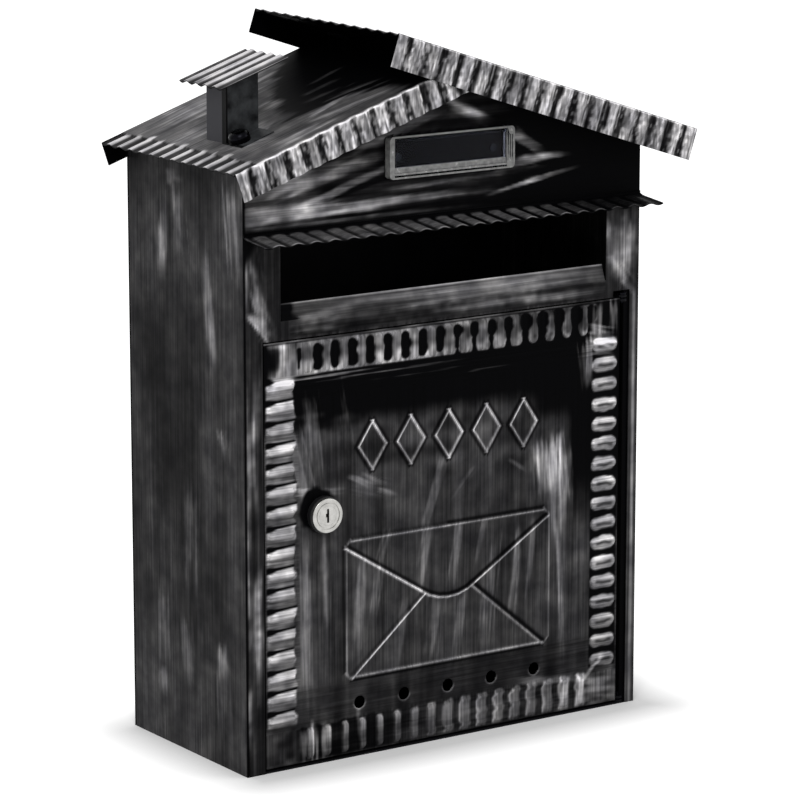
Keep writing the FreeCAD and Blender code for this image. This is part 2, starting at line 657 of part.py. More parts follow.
# ---- door ---------------------------------------------------------------------------
def pill(length, width, front, back, fillet):
    """Rounded bar along Z in the XZ plane, between two depths, with its front edge rounded."""
    radius = width / 2
    half = length / 2 - radius
    arc_top = Part.Arc(V(-radius, front, half), V(0, front, half + radius), V(radius, front, half))
    arc_low = Part.Arc(V(radius, front, -half), V(0, front, -half - radius), V(-radius, front, -half))
    edges = [arc_top.toShape(), Part.makeLine(V(radius, front, half), V(radius, front, -half)),
             arc_low.toShape(), Part.makeLine(V(-radius, front, -half), V(-radius, front, half))]
    solid = Part.Face(Part.Wire(edges)).extrude(V(0, back - front, 0))
    if fillet == 0:
        return solid
    rim = [edge for edge in solid.Edges if abs(edge.CenterOfMass.y - front) < PARALLEL]
    return solid.makeFillet(fillet, rim)


def bead_places():
    """Centre and turn of every bead around the door."""
    reach = BEAD_EDGE + BEAD_L / 2
    wide = round((DOOR_RIGHT - DOOR_LEFT - 2 * CORNER) / FLUTE_PITCH)
    tall = round((DOOR_TOP - DOOR_BOTTOM - 2 * CORNER) / FLUTE_PITCH)
    places = []
    for i in range(wide):
        x = PATTERN_X + (i - (wide - 1) / 2) * FLUTE_PITCH
        places += [(x, DOOR_TOP - reach, 0), (x, DOOR_BOTTOM + reach, 0)]
    for i in range(tall):
        z = PATTERN_Z + (i - (tall - 1) / 2) * FLUTE_PITCH
        places += [(DOOR_LEFT + reach, z, 90), (DOOR_RIGHT - reach, z, 90)]
    return places


def beads(length, width, front, back, fillet):
    """One copy of a pill at each place."""
    upright = pill(length, width, front, back, fillet)
    lying = turned(upright, V(0, 1, 0), 90)
    return [moved(lying if turn else upright, x, 0, z) for x, z, turn in bead_places()]


def ridge_line(points, radius=RIDGE_R, height=RIDGE_H):
    """Straight ridges between points, each a bar of its own with round ends."""
    y = DOOR_Y - height + radius
    bars = []
    for (x0, z0), (x1, z1) in zip(points, points[1:]):
        start, end = V(x0, y, z0), V(x1, y, z1)
        bar = Part.makeCylinder(radius, (end - start).Length, start, end - start)
        bars.append(fuse([bar, Part.makeSphere(radius, start), Part.makeSphere(radius, end)]))
    solid = bars[0] if len(bars) == 1 else fuse(bars)
    box = solid.BoundBox
    keep = block(box.XMin, box.XMax, DOOR_Y - 2 * height, DOOR_Y + SHEET / 2, box.ZMin, box.ZMax)
    return solid.common(keep)


def tip_points():
    """Points along the rounded tip of the envelope's flap, on an arc of a circle."""
    half = FLAP_TIP_W / 2
    radius = (half ** 2 + FLAP_TIP_RISE ** 2) / (2 * FLAP_TIP_RISE)
    spread = math.asin(half / radius)
    angles = [spread * (2 * i / FLAP_TIP_STEPS - 1) for i in range(FLAP_TIP_STEPS + 1)]
    return [(PATTERN_X + radius * math.sin(a), FLAP_TIP + radius * (1 - math.cos(a))) for a in angles]


def envelope():
    """Pressed outline of a closed envelope."""
    left, right = PATTERN_X - ENVELOPE_W / 2, PATTERN_X + ENVELOPE_W / 2
    low, high = ENVELOPE_BOTTOM, ENVELOPE_TOP
    cut = ENVELOPE_CORNER
    outline = [(left + cut, high), (right - cut, high), (right, high - cut), (right, low + cut),
               (right - cut, low), (left + cut, low), (left, low + cut), (left, high - cut), (left + cut, high)]
    flap = [(left, high - cut)] + tip_points() + [(right, high - cut)]
    half = FLAP_TIP_W / 2
    seams = [[(PATTERN_X - half + RIDGE_R, SEAM_TOP), (left + cut, low)],
             [(PATTERN_X + half - RIDGE_R, SEAM_TOP), (right - cut, low)]]
    return [ridge_line(outline), ridge_line(flap)] + [ridge_line(seam) for seam in seams]


def lozenges():
    """Row of pressed lozenge outlines above the envelope."""
    rows = []
    for i in range(LOZENGES):
        x = PATTERN_X + (i - (LOZENGES - 1) / 2) * LOZENGE_PITCH
        w, h = LOZENGE_W / 2, LOZENGE_H / 2
        rows.append(ridge_line([(x, LOZENGE_UP + h), (x + w, LOZENGE_UP), (x, LOZENGE_UP - h),
                                (x - w, LOZENGE_UP), (x, LOZENGE_UP + h)]))
    return rows


def barrel(radius, y0, y1, grow):
    """Round bar with two flats, as a cam lock's thread has."""
    bar = rod(LOCK_X, y0, LOCK_UP, radius + grow, y1 - y0, V(0, 1, 0))
    half = BARREL_FLATS / 2 + grow
    return bar.common(block(LOCK_X - half, LOCK_X + half, y0, y1, LOCK_UP - radius - EPS, LOCK_UP + radius + EPS))


def door_panel():
    """Pressed steel door with folded edges, beads, envelope and view holes."""
    skin = block(DOOR_LEFT, DOOR_RIGHT, DOOR_Y, DOOR_INNER_Y, DOOR_BOTTOM, DOOR_TOP)
    folds = [block(DOOR_LEFT, DOOR_LEFT + SHEET, DOOR_Y, DOOR_BACK_Y, DOOR_BOTTOM, DOOR_TOP),
             block(DOOR_RIGHT - SHEET, DOOR_RIGHT, DOOR_Y, DOOR_BACK_Y,
                   LUG_BOTTOM_Z + LUG_T + CLEAR, LUG_TOP_Z - CLEAR),
             block(DOOR_LEFT, DOOR_RIGHT, DOOR_Y, DOOR_BACK_Y, DOOR_BOTTOM, DOOR_BOTTOM + SHEET),
             block(DOOR_LEFT, DOOR_RIGHT, DOOR_Y, DOOR_BACK_Y, DOOR_TOP - SHEET, DOOR_TOP)]
    step_z = DOOR_TOP - STEP_DROP
    step = ridge_line([(DOOR_LEFT + STEP_START, step_z), (DOOR_RIGHT - CORNER, step_z)], STEP_R, STEP_H)
    raised = beads(BEAD_L, BEAD_W, DOOR_Y - BEAD_H, DOOR_INNER_Y, BEAD_FILLET)
    door = fuse([skin] + folds + raised + envelope() + lozenges() + [step])
    hollow = beads(BEAD_L - 2 * BEAD_WALL, BEAD_W - 2 * BEAD_WALL, DOOR_Y - BEAD_H + SHEET, DOOR_INNER_Y + EPS, 0)
    holes = [rod(PATTERN_X + (i - (VIEW_HOLES - 1) / 2) * VIEW_HOLE_PITCH, DOOR_Y - EPS, VIEW_HOLE_UP,
                 VIEW_HOLE_R, SHEET + 2 * EPS, V(0, 1, 0)) for i in range(VIEW_HOLES)]
    lock = barrel(BARREL_R, DOOR_Y - EPS, DOOR_INNER_Y + EPS, PIN_CLEAR)
    return door.cut(hollow + holes + [lock])


# ---- hinge --------------------------------------------------------------------------
def lug(z, pin_radius):
    """Ear that reaches from inside the door to the hinge axis."""
    arm = block(HINGE_X - LUG_L, HINGE_X, DOOR_INNER_Y, HINGE_Y + LUG_R, z, z + LUG_T)
    eye = rod(HINGE_X, HINGE_Y, z, LUG_R, LUG_T, V(0, 0, 1))
    hole = rod(HINGE_X, HINGE_Y, z - EPS, pin_radius, LUG_T + 2 * EPS, V(0, 0, 1))
    return fuse([arm, eye]).cut(hole)


def bracket(z, leg_low, leg_high, pin_radius):
    """Angle inside the right side panel that carries a hinge pin."""
    shelf = block(DOOR_RIGHT + CLEAR, INNER_X, BRACKET_Y, BRACKET_Y + BRACKET_W, z, z + BRACKET_T)
    leg = block(INNER_X - BRACKET_T, INNER_X, BRACKET_Y, BRACKET_Y + BRACKET_W, leg_low, leg_high)
    eye = rod(HINGE_X, HINGE_Y, z, LUG_R, BRACKET_T, V(0, 0, 1))
    hole = rod(HINGE_X, HINGE_Y, z - EPS, pin_radius, BRACKET_T + 2 * EPS, V(0, 0, 1))
    rivets = [rod(INNER_X - BRACKET_T - EPS, y, height, RIVET_R + PIN_CLEAR, BRACKET_T + 2 * EPS, V(1, 0, 0))
              for y, height in rivet_places()]
    return fuse([shelf, leg, eye]).cut([hole] + rivets)


def hinge_bracket_top():
    low = BRACKET_TOP_Z + BRACKET_T - BRACKET_LEG
    return bracket(BRACKET_TOP_Z, low, BRACKET_TOP_Z + BRACKET_T, PIN_R + PIN_CLEAR)


def hinge_bracket_bottom():
    return bracket(BRACKET_BOTTOM_Z, BRACKET_BOTTOM_Z, BRACKET_BOTTOM_Z + BRACKET_LEG, PIN_R)


def rivet_places():
    """Two rivets in each hinge bracket, as y and z."""
    middle = BRACKET_LEG / 2
    heights = [BRACKET_TOP_Z + BRACKET_T - middle, BRACKET_BOTTOM_Z + middle]
    middle_y, half = BRACKET_Y + BRACKET_W / 2, RIVET_SPREAD / 2
    return [(y, z) for z in heights for y in (middle_y - half, middle_y + half)]


def hinge_rivets():
    """Four domed rivets through the side panel and the brackets."""
    rivets = []
    for y, z in rivet_places():
        shank = rod(INNER_X - BRACKET_T, y, z, RIVET_R, BRACKET_T + SHEET, V(1, 0, 0))
        tail = rod(INNER_X - BRACKET_T - RIVET_TAIL_H, y, z, RIVET_TAIL_R, RIVET_TAIL_H, V(1, 0, 0))
        head = rod(HALF_W, y, z, RIVET_HEAD_R, RIVET_HEAD_H, V(1, 0, 0))
        rim = [edge for edge in head.Edges if edge.Closed and edge.CenterOfMass.x > HALF_W + RIVET_HEAD_H / 2]
        rivets.append(fuse([shank, tail, head.makeFillet(RIVET_HEAD_FILLET, rim)]))
    return Part.makeCompound(rivets)


def hinge_pin_top():
    """Headed pin that hangs in the bracket and is pressed into the door's lug."""
    low = LUG_TOP_Z - PIN_TAIL / 2
    head_z = BRACKET_TOP_Z + BRACKET_T + CLEAR
    shank = rod(HINGE_X, HINGE_Y, low, PIN_R, head_z - low, V(0, 0, 1))
    head = rod(HINGE_X, HINGE_Y, head_z, PIN_HEAD_R, PIN_HEAD_T, V(0, 0, 1))
    return fuse([shank, head])


def hinge_pin_bottom():
    """Pivot pressed into the lower bracket; the door's lug turns on it."""
    top = LUG_BOTTOM_Z + LUG_T + PIN_TAIL
    pin = rod(HINGE_X, HINGE_Y, BRACKET_BOTTOM_Z, PIN_R, top - BRACKET_BOTTOM_Z, V(0, 0, 1))
    rim = [edge for edge in pin.Edges if edge.Closed and edge.CenterOfMass.z > top - CLEAR]
    return pin.makeChamfer(PIN_CHAMFER, rim)


# ---- cam lock -----------------------------------------------------------------------
def lock_collar():
    """Spacer ring between the door and the lock's face."""
    ring = rod(LOCK_X, DOOR_Y - COLLAR_T, LOCK_UP, COLLAR_R, COLLAR_T, V(0, 1, 0))
    return ring.cut(barrel(BARREL_R, DOOR_Y - COLLAR_T - EPS, DOOR_Y + EPS, PIN_CLEAR))


def lock_body():
    """Threaded barrel with a round face and a bore for the plug."""
    face = rod(LOCK_X, LOCK_FACE_Y, LOCK_UP, FACE_R, FACE_T, V(0, 1, 0))
    rim = [edge for edge in face.Edges if edge.Closed and edge.CenterOfMass.y < LOCK_FACE_Y + FACE_T / 2]
    face = face.makeFillet(FACE_FILLET, rim)
    stem = barrel(BARREL_R, LOCK_FACE_Y + FACE_T, BARREL_END_Y, 0)
    y0 = LOCK_FACE_Y - EPS
    groove = rod(LOCK_X, y0, LOCK_UP, RING_R, EPS + RING_DEPTH, V(0, 1, 0))
    groove = groove.cut(rod(LOCK_X, y0, LOCK_UP, RING_R - RING_W, EPS + RING_DEPTH, V(0, 1, 0)))
    bore = rod(LOCK_X, y0, LOCK_UP, PLUG_R + PIN_CLEAR, BARREL_END_Y - y0 + EPS, V(0, 1, 0))
    return fuse([face, stem]).cut([groove, bore])


def lock_nut():
    nut = hex_bar(NUT_AF, LOCK_X, DOOR_INNER_Y, LOCK_UP, NUT_T)
    return nut.cut(rod(LOCK_X, DOOR_INNER_Y - EPS, LOCK_UP, BARREL_R + PIN_CLEAR, NUT_T + 2 * EPS, V(0, 1, 0)))


def lock_plug():
    """Plug with its keyway, and a square tail for the cam."""
    body = rod(LOCK_X, LOCK_FACE_Y, LOCK_UP, PLUG_R, BARREL_END_Y - LOCK_FACE_Y, V(0, 1, 0))
    half = TAIL_SIDE / 2
    tail = block(LOCK_X - half, LOCK_X + half, BARREL_END_Y - EPS, CAM_Y + CAM_T - CLEAR / 2,
                 LOCK_UP - half, LOCK_UP + half)
    y0, y1 = LOCK_FACE_Y - EPS, LOCK_FACE_Y + KEYWAY_DEPTH
    slit = block(LOCK_X - KEYWAY_T / 2, LOCK_X + KEYWAY_T / 2, y0, y1,
                 LOCK_UP - KEYWAY_L / 2, LOCK_UP + KEYWAY_L / 2)
    ward = block(LOCK_X - KEYWAY_T, LOCK_X, y0, y1, LOCK_UP - KEYWAY_T / 2, LOCK_UP + KEYWAY_T)
    thread = rod(LOCK_X, CAM_Y + CAM_T - CAM_SCREW_L, LOCK_UP, CAM_SCREW_R + PIN_CLEAR, CAM_SCREW_L, V(0, 1, 0))
    return fuse([body, tail]).cut([slit, ward, thread])


def lock_cam():
    """Flat cam on the plug's tail, upright while unlocked."""
    hub = rod(LOCK_X, CAM_Y, LOCK_UP, CAM_HUB_R, CAM_T, V(0, 1, 0))
    arm = block(LOCK_X - CAM_W / 2, LOCK_X + CAM_W / 2, CAM_Y, CAM_Y + CAM_T, LOCK_UP, LOCK_UP + CAM_REACH)
    tips = [edge for edge in edges_along_y(arm) if edge.CenterOfMass.z > LOCK_UP + CAM_REACH / 2]
    arm = arm.makeFillet(CAM_FILLET, tips)
    half = TAIL_SIDE / 2 + PIN_CLEAR
    square = block(LOCK_X - half, LOCK_X + half, CAM_Y - EPS, CAM_Y + CAM_T + EPS, LOCK_UP - half, LOCK_UP + half)
    return fuse([hub, arm]).cut(square)


def cam_washer():
    y = CAM_Y + CAM_T
    ring = rod(LOCK_X, y, LOCK_UP, CAM_WASHER_R, CAM_WASHER_T, V(0, 1, 0))
    return ring.cut(rod(LOCK_X, y - EPS, LOCK_UP, CAM_SCREW_R + PIN_CLEAR, CAM_WASHER_T + 2 * EPS, V(0, 1, 0)))


def cam_screw():
    y = CAM_Y + CAM_T + CAM_WASHER_T
    head = hex_bar(CAM_HEAD_AF, LOCK_X, y, LOCK_UP, CAM_HEAD_T)
    shank = rod(LOCK_X, y - CAM_SCREW_L, LOCK_UP, CAM_SCREW_R, CAM_SCREW_L, V(0, 1, 0))
    return fuse([head, shank])


PIECES = {
    "front_panel": front_panel,
    "back_panel": back_panel,
    "side_panel_left": side_left,
    "side_panel_right": side_right,
    "floor_pan": floor_pan,
    "door_threshold": threshold,
    "roof_panel_left": roof_left_panel,
    "roof_panel_right": roof_right_panel,
    "slot_awning": awning,
    "chimney_front": chimney_front,
    "chimney_box": chimney_box,
    "chimney_cap": chimney_cap,
    "chimney_bolt": chimney_bolt,
    "chimney_nut": chimney_nut,
    "nameplate_tray": plate_base,
    "nameplate_window": plate_window,
    "nameplate_studs": plate_studs,
    "hinge_bracket_top": hinge_bracket_top,
    "hinge_bracket_bottom": hinge_bracket_bottom,
    "hinge_rivets": hinge_rivets,
    "hinge_pin_top": hinge_pin_top,
    "hinge_pin_bottom": hinge_pin_bottom,
    "door_panel": door_panel,
    "door_lug_top": lambda: lug(LUG_TOP_Z, PIN_R),
    "door_lug_bottom": lambda: lug(LUG_BOTTOM_Z, PIN_R + PIN_CLEAR),
    "lock_body": lock_body,
    "lock_collar": lock_collar,
    "lock_nut": lock_nut,
    "lock_plug": lock_plug,
    "lock_cam": lock_cam,
    "cam_washer": cam_washer,
    "cam_screw": cam_screw,
}

for node, make in PIECES.items():
    solid = make()
    save(node, solid)
    box = solid.BoundBox
    print(node, solid.isValid(), len(solid.Solids), "volume", round(solid.Volume),
          "x", round(box.XMin, 1), round(box.XMax, 1), "y", round(box.YMin, 1), round(box.YMax, 1),
          "z", round(box.ZMin, 1), round(box.ZMax, 1))
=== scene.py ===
"""Looks of a house-shaped wall mailbox: black lacquered sheet steel, dry-brushed with silver."""

import math

import bmesh
import bpy
import numpy as np
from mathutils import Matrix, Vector


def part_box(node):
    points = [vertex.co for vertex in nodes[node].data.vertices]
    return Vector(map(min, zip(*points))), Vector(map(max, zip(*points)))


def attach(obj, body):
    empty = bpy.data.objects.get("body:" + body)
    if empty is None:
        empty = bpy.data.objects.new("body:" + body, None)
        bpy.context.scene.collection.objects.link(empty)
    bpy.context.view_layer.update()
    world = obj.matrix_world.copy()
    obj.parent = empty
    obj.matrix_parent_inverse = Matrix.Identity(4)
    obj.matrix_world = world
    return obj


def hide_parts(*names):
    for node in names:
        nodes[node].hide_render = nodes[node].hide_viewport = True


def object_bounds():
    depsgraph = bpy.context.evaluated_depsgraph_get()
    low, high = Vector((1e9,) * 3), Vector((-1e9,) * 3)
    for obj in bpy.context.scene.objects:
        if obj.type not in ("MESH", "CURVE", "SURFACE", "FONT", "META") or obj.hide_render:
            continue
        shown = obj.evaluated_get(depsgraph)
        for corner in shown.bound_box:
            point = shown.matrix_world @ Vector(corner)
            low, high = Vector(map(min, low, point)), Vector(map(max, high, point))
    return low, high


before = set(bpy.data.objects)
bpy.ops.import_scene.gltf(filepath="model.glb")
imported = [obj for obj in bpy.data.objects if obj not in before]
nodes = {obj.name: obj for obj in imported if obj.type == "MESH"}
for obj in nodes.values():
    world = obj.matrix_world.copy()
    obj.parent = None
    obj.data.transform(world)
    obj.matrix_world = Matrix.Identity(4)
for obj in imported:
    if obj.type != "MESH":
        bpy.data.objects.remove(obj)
cad_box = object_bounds()


def to_linear(code):
    """A colour written as sRGB hex, as the linear colour that a shader takes."""
    values = [int(code[i:i + 2], 16) / 255 for i in (0, 2, 4)]
    return [v / 12.92 if v <= 0.04045 else ((v + 0.055) / 1.055) ** 2.4 for v in values] + [1.0]


def add_node(tree, kind, inputs=None, **settings):
    """One shader node with its settings. An input takes a value, a colour as sRGB hex, the
    socket of another node, or that node itself for its first output."""
    node = tree.nodes.new("ShaderNode" + kind)
    for name, value in settings.items():
        setattr(node, name, value)
    for key, value in (inputs or {}).items():
        if isinstance(value, bpy.types.Node):
            value = value.outputs[0]
        if isinstance(value, bpy.types.NodeSocket):
            tree.links.new(value, node.inputs[key])
        else:
            node.inputs[key].default_value = to_linear(value) if isinstance(value, str) else value
    return node


def new_material(name):
    """Empty node material, its tree, and the place on the piece in metres."""
    material = bpy.data.materials.new(name)
    material.use_nodes = True
    tree = material.node_tree
    tree.nodes.clear()
    return material, tree, add_node(tree, "TexCoord").outputs["Object"]


def dress(node, material):
    """Give every material slot of a CAD node one material."""
    for slot in nodes[node].material_slots:
        slot.material = material


# Polyester lacquer, sprayed and stoved: black with a soft gloss, a fine orange peel and
# thin dusty clouds where the spray fell dry. The peel is 1.4 mm, drawn coarser than the
# real 0.6 mm so that it shows.
PEEL_MM = 1.4
CLOUD_MM = 35.0


def sprayed_lacquer(name, dark, light, cloud_mm=CLOUD_MM, shade_left_of=None):
    """Lacquer clouded between two tones, with orange peel, and pure black painted shade left of a place in
    x, if one is given.
    """
    material, tree, place = new_material(name)
    peel = add_node(tree, "TexNoise", {"Vector": place, "Scale": 1000 / PEEL_MM, "Detail": 2.0})
    cloud = add_node(tree, "TexNoise", {"Vector": place, "Scale": 1000 / cloud_mm, "Detail": 4.0})
    tone = add_node(tree, "MapRange", {"Value": cloud, "From Min": 0.3, "From Max": 0.7})
    colour = add_node(tree, "MixRGB", {"Fac": tone, "Color1": dark, "Color2": light})
    if shade_left_of is not None:
        across = add_node(tree, "SeparateXYZ", {0: place}).outputs["X"]
        wiped = add_node(tree, "MapRange", {"Value": across, "From Min": shade_left_of,
                                            "From Max": shade_left_of + 1e-4})
        # Left of that place the colour is pure black: painted shade.
        colour = add_node(tree, "MixRGB", {"Fac": wiped, "Color1": "040405", "Color2": colour})
    rough = add_node(tree, "MapRange", {"Value": cloud, "To Min": 0.38, "To Max": 0.55})
    bump = add_node(tree, "Bump", {"Height": peel, "Strength": 0.12, "Distance": 0.0002})
    shader = add_node(tree, "BsdfPrincipled", {"Base Color": colour, "Roughness": rough, "Normal": bump,
                                               "Specular IOR Level": 0.05})
    add_node(tree, "OutputMaterial", {"Surface": shader})
    return material


black_lacquer = sprayed_lacquer("Black lacquer, sprayed", "0a0a0c", "17171a")
dress("back_panel", black_lacquer)

# ---- side panels --------------------------------------------------------------------
# Mild steel sheet, 0.8 mm, folded inwards at the front and the back and welded there.
# Lacquered black; a nearly dry brush of silver was then drawn up and down over it.
SHEET = 0.8
BEND_R = 1.3
EDGE_LINE = 0.4        # an extra grid line runs this far from each edge
INNER_SKIN_SHEEN = 0.17       # grey on the inner skin, even all over: painted sheen
BOW = 0.5              # how far a stroke bows from a straight line
BACK_RETURN = 10.8     # depth of the fold at the back
MARKS_TURNED = 378.0   # the right side has the left side's marks, turned over about half this height
base_z = cad_box[0][2]


def span(node):
    """Lowest and highest corner of a CAD node in millimetres, with heights from the base."""
    low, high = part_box(node)
    lift = Vector((0, 0, base_z))
    return [1000 * v for v in low - lift], [1000 * v for v in high - lift]


def spread(stops, step):
    """Grid lines through every stop, about a step apart, with one more close to each stop."""
    lines = [stops[0]]
    for low, high in zip(stops, stops[1:]):
        if high - low > 3 * EDGE_LINE:
            inner = np.linspace(low + EDGE_LINE, high - EDGE_LINE, max(2, 1 + round((high - low) / step)))
            lines += list(inner)
        lines.append(high)
    return np.array(lines)


def folded(corners, step, radius=BEND_R):
    """Points along the outside of a bent strip, rounded at its bends, about a step apart."""
    corners = [np.array(corner, float) for corner in corners]
    points, start = [corners[0]], corners[0]
    for before, corner, after in zip(corners, corners[1:], corners[2:]):
        come = (corner - before) / np.linalg.norm(corner - before)
        leave = (after - corner) / np.linalg.norm(after - corner)
        turn = math.acos(np.clip(come @ leave, -1, 1))
        set_back = radius * math.tan(turn / 2)
        side = leave - come * (come @ leave)
        centre = corner - come * set_back + side / np.linalg.norm(side) * radius
        first, last = corner - come * set_back, corner + leave * set_back
        points += straight(start, first, step)
        for part in np.linspace(0, turn, 5)[1:]:
            points.append(centre + (first - centre) * math.cos(part) + come * radius * math.sin(part))
        start = last
    points += straight(start, corners[-1], step)
    return np.array(points)


def lattice(first, second):
    """Two coordinates over a grid: the first changes from row to row, the second along a row."""
    return np.meshgrid(first, second, indexing="ij")


def grid_of(x, y, z):
    """Grid of points from coordinates that are grids or single numbers."""
    return np.stack(np.broadcast_arrays(x, y, z), axis=-1)


def straight(start, end, step):
    """Points from just after start up to end, about a step apart, close together at its end."""
    length = np.linalg.norm(end - start)
    stops = spread([0, length], step)[1:]
    return [start + (end - start) * stop / length for stop in stops]


def grain(along, across, length, width, seed):
    """Soft noise from 0 to 1, stretched to a length and a width in millimetres."""
    table = np.random.default_rng(seed).random((256, 256))
    a, b = along / length, across / width
    i, j = np.floor(a).astype(int), np.floor(b).astype(int)
    s, t = a - i, b - j
    s, t = s * s * (3 - 2 * s), t * t * (3 - 2 * t)
    low = table[i % 256, j % 256] * (1 - s) + table[(i + 1) % 256, j % 256] * s
    high = table[i % 256, (j + 1) % 256] * (1 - s) + table[(i + 1) % 256, (j + 1) % 256] * s
    return low * (1 - t) + high * t


def smooth(value, low, high):
    """0 below low, 1 above high, and a soft step between."""
    part = np.clip((value - low) / (high - low), 0, 1)
    return part * part * (3 - 2 * part)


def strokes(u, v, marks, seed, hair=2.0):
    """Dry brush marks over a sheet, each (u, v, u, v, width, weight) from its start to its end."""
    bare = np.ones_like(u)
    for number, (u0, v0, u1, v1, width, weight) in enumerate(marks):
        length = math.hypot(u1 - u0, v1 - v0)
        du, dv = (u1 - u0) / length, (v1 - v0) / length
        along, across = (u - u0) * du + (v - v0) * dv, (v - v0) * du - (u - u0) * dv
        part = along / length
        bow = min(BOW, 0.02 * length) * np.sin(math.pi * np.clip(part, 0, 1))
        across += bow * (1 if number % 2 else -1)
        hairs = 0.62 * grain(along, across, 0.6 * length + 8, hair, seed + 7 * number)
        hairs += 0.24 * grain(along, across, 14, 1.6 * hair, seed + 7 * number + 1)
        hairs += 0.14 * grain(along, across, 5, hair, seed + 7 * number + 2)
        ends = smooth(part - 0.20 * (1 - hairs), -0.04, 0.16)
        ends *= smooth(1 - part - 0.3 * (1 - hairs), -0.06, 0.4)
        side = smooth(1 - np.abs(across) / (0.5 * width) + 1.1 * (hairs - 0.5), 0.0, 0.8)
        bare *= 1 - np.clip(weight * ends * side * (0.35 + 1.5 * hairs), 0, 1)
    return 1 - bare


def add_object(name, data):
    """Object around a mesh, a lamp or a camera, linked to the scene."""
    thing = bpy.data.objects.new(name, data)
    bpy.context.scene.collection.objects.link(thing)
    return thing


def sheet(name, patches, inside=0.0):
    """Sheet metal from grids of outer points: welded, with an inner skin and rims. A patch is its
    points, its silver, the cells to keep (None for all) and 1 where the brush went level. The
    attribute 'brush' keeps the silver, with the painted highlights and shadows drawn into it, and
    the grey given as inside on the inner skin, which is painted sheen; 'level' keeps the last."""
    points, quads, brush, levels, start = [], [], [], [], 0
    for grid, silver, keep, level in patches:
        rows, columns = grid.shape[:2]
        index = start + np.arange(rows * columns).reshape(rows, columns)
        cells = np.stack([index[:-1, :-1], index[1:, :-1], index[1:, 1:], index[:-1, 1:]], axis=-1)
        quads.append(cells[keep] if keep is not None else cells.reshape(-1, 4))
        points.append(grid.reshape(-1, 3))
        brush.append(np.broadcast_to(silver, (rows, columns)).reshape(-1))
        levels.append(np.broadcast_to(level, (rows, columns)).reshape(-1))
        start += rows * columns
    points, quads = np.concatenate(points), np.concatenate(quads)
    brush, levels = np.concatenate(brush), np.concatenate(levels).astype(float)
    used = np.unique(quads)
    _, first, weld = np.unique(np.round(points[used], 3), axis=0, return_index=True, return_inverse=True)
    weld = weld.reshape(-1)
    renumber = np.zeros(len(points), int)
    renumber[used] = weld
    quads, outer = renumber[quads], points[used][first]
    silver, turned = np.zeros(len(outer)), np.zeros(len(outer))
    np.maximum.at(silver, weld, brush[used])
    np.maximum.at(turned, weld, levels[used])
    normals = np.zeros_like(outer)
    corner = outer[quads]
    facing = np.cross(corner[:, 2] - corner[:, 0], corner[:, 3] - corner[:, 1])
    for place in range(4):
        np.add.at(normals, quads[:, place], facing)
    normals /= np.maximum(np.linalg.norm(normals, axis=1, keepdims=True), 1e-9)
    count = len(outer)
    edges = np.concatenate([quads[:, [k, (k + 1) % 4]] for k in range(4)])
    key = np.sort(edges, axis=1) @ [count, 1]
    _, where, times = np.unique(key, return_index=True, return_counts=True)
    rim = edges[where[times == 1]]
    rims = np.stack([rim[:, 1], rim[:, 0], rim[:, 0] + count, rim[:, 1] + count], axis=1)
    faces = np.concatenate([quads, quads[:, ::-1] + count, rims])
    everything = np.concatenate([outer, outer - normals * SHEET]) / 1000
    everything[:, 2] += base_z
    mesh = bpy.data.meshes.new(name)
    mesh.from_pydata(everything.tolist(), [], faces.tolist())
    mesh.validate()
    mesh.polygons.foreach_set("use_smooth", np.ones(len(mesh.polygons), bool))
    for label, outside, skin in (("brush", silver, inside), ("level", turned, 0.0)):
        values = np.concatenate([outside, np.full(count, skin)]).astype(np.float32)
        mesh.attributes.new(label, "FLOAT", "POINT").data.foreach_set("value", values)
    mesh.update()
    return add_object(name, mesh)


# Silver effect paint, dragged dry over black lacquer: pale grey with a weak metal glint
# where the brush pressed, broken into hairs, and bare satin black where it passed over.
# The hairs are 1.4 mm wide, drawn coarser than the real 0.3 mm so that they show.
HAIR_MM = 1.4
HAIR_LENGTH_MM = 60.0
SMEAR_MM = 14.0


def hair_noise(tree, place, along, across):
    """Noise stretched along the brush; both directions are unit vectors at a right angle."""
    through = Vector(along).cross(Vector(across))
    parts = {}
    for axis, direction, size in (("X", along, HAIR_LENGTH_MM), ("Y", across, HAIR_MM),
                                  ("Z", through, HAIR_MM)):
        scaled = [1000 / size * value for value in direction]
        dot = add_node(tree, "VectorMath", {0: place, 1: scaled}, operation="DOT_PRODUCT")
        parts[axis] = dot.outputs["Value"]
    stretched = add_node(tree, "CombineXYZ", parts)
    return add_node(tree, "TexNoise", {"Vector": stretched, "Scale": 1.0, "Detail": 2.0, "Roughness": 0.6})


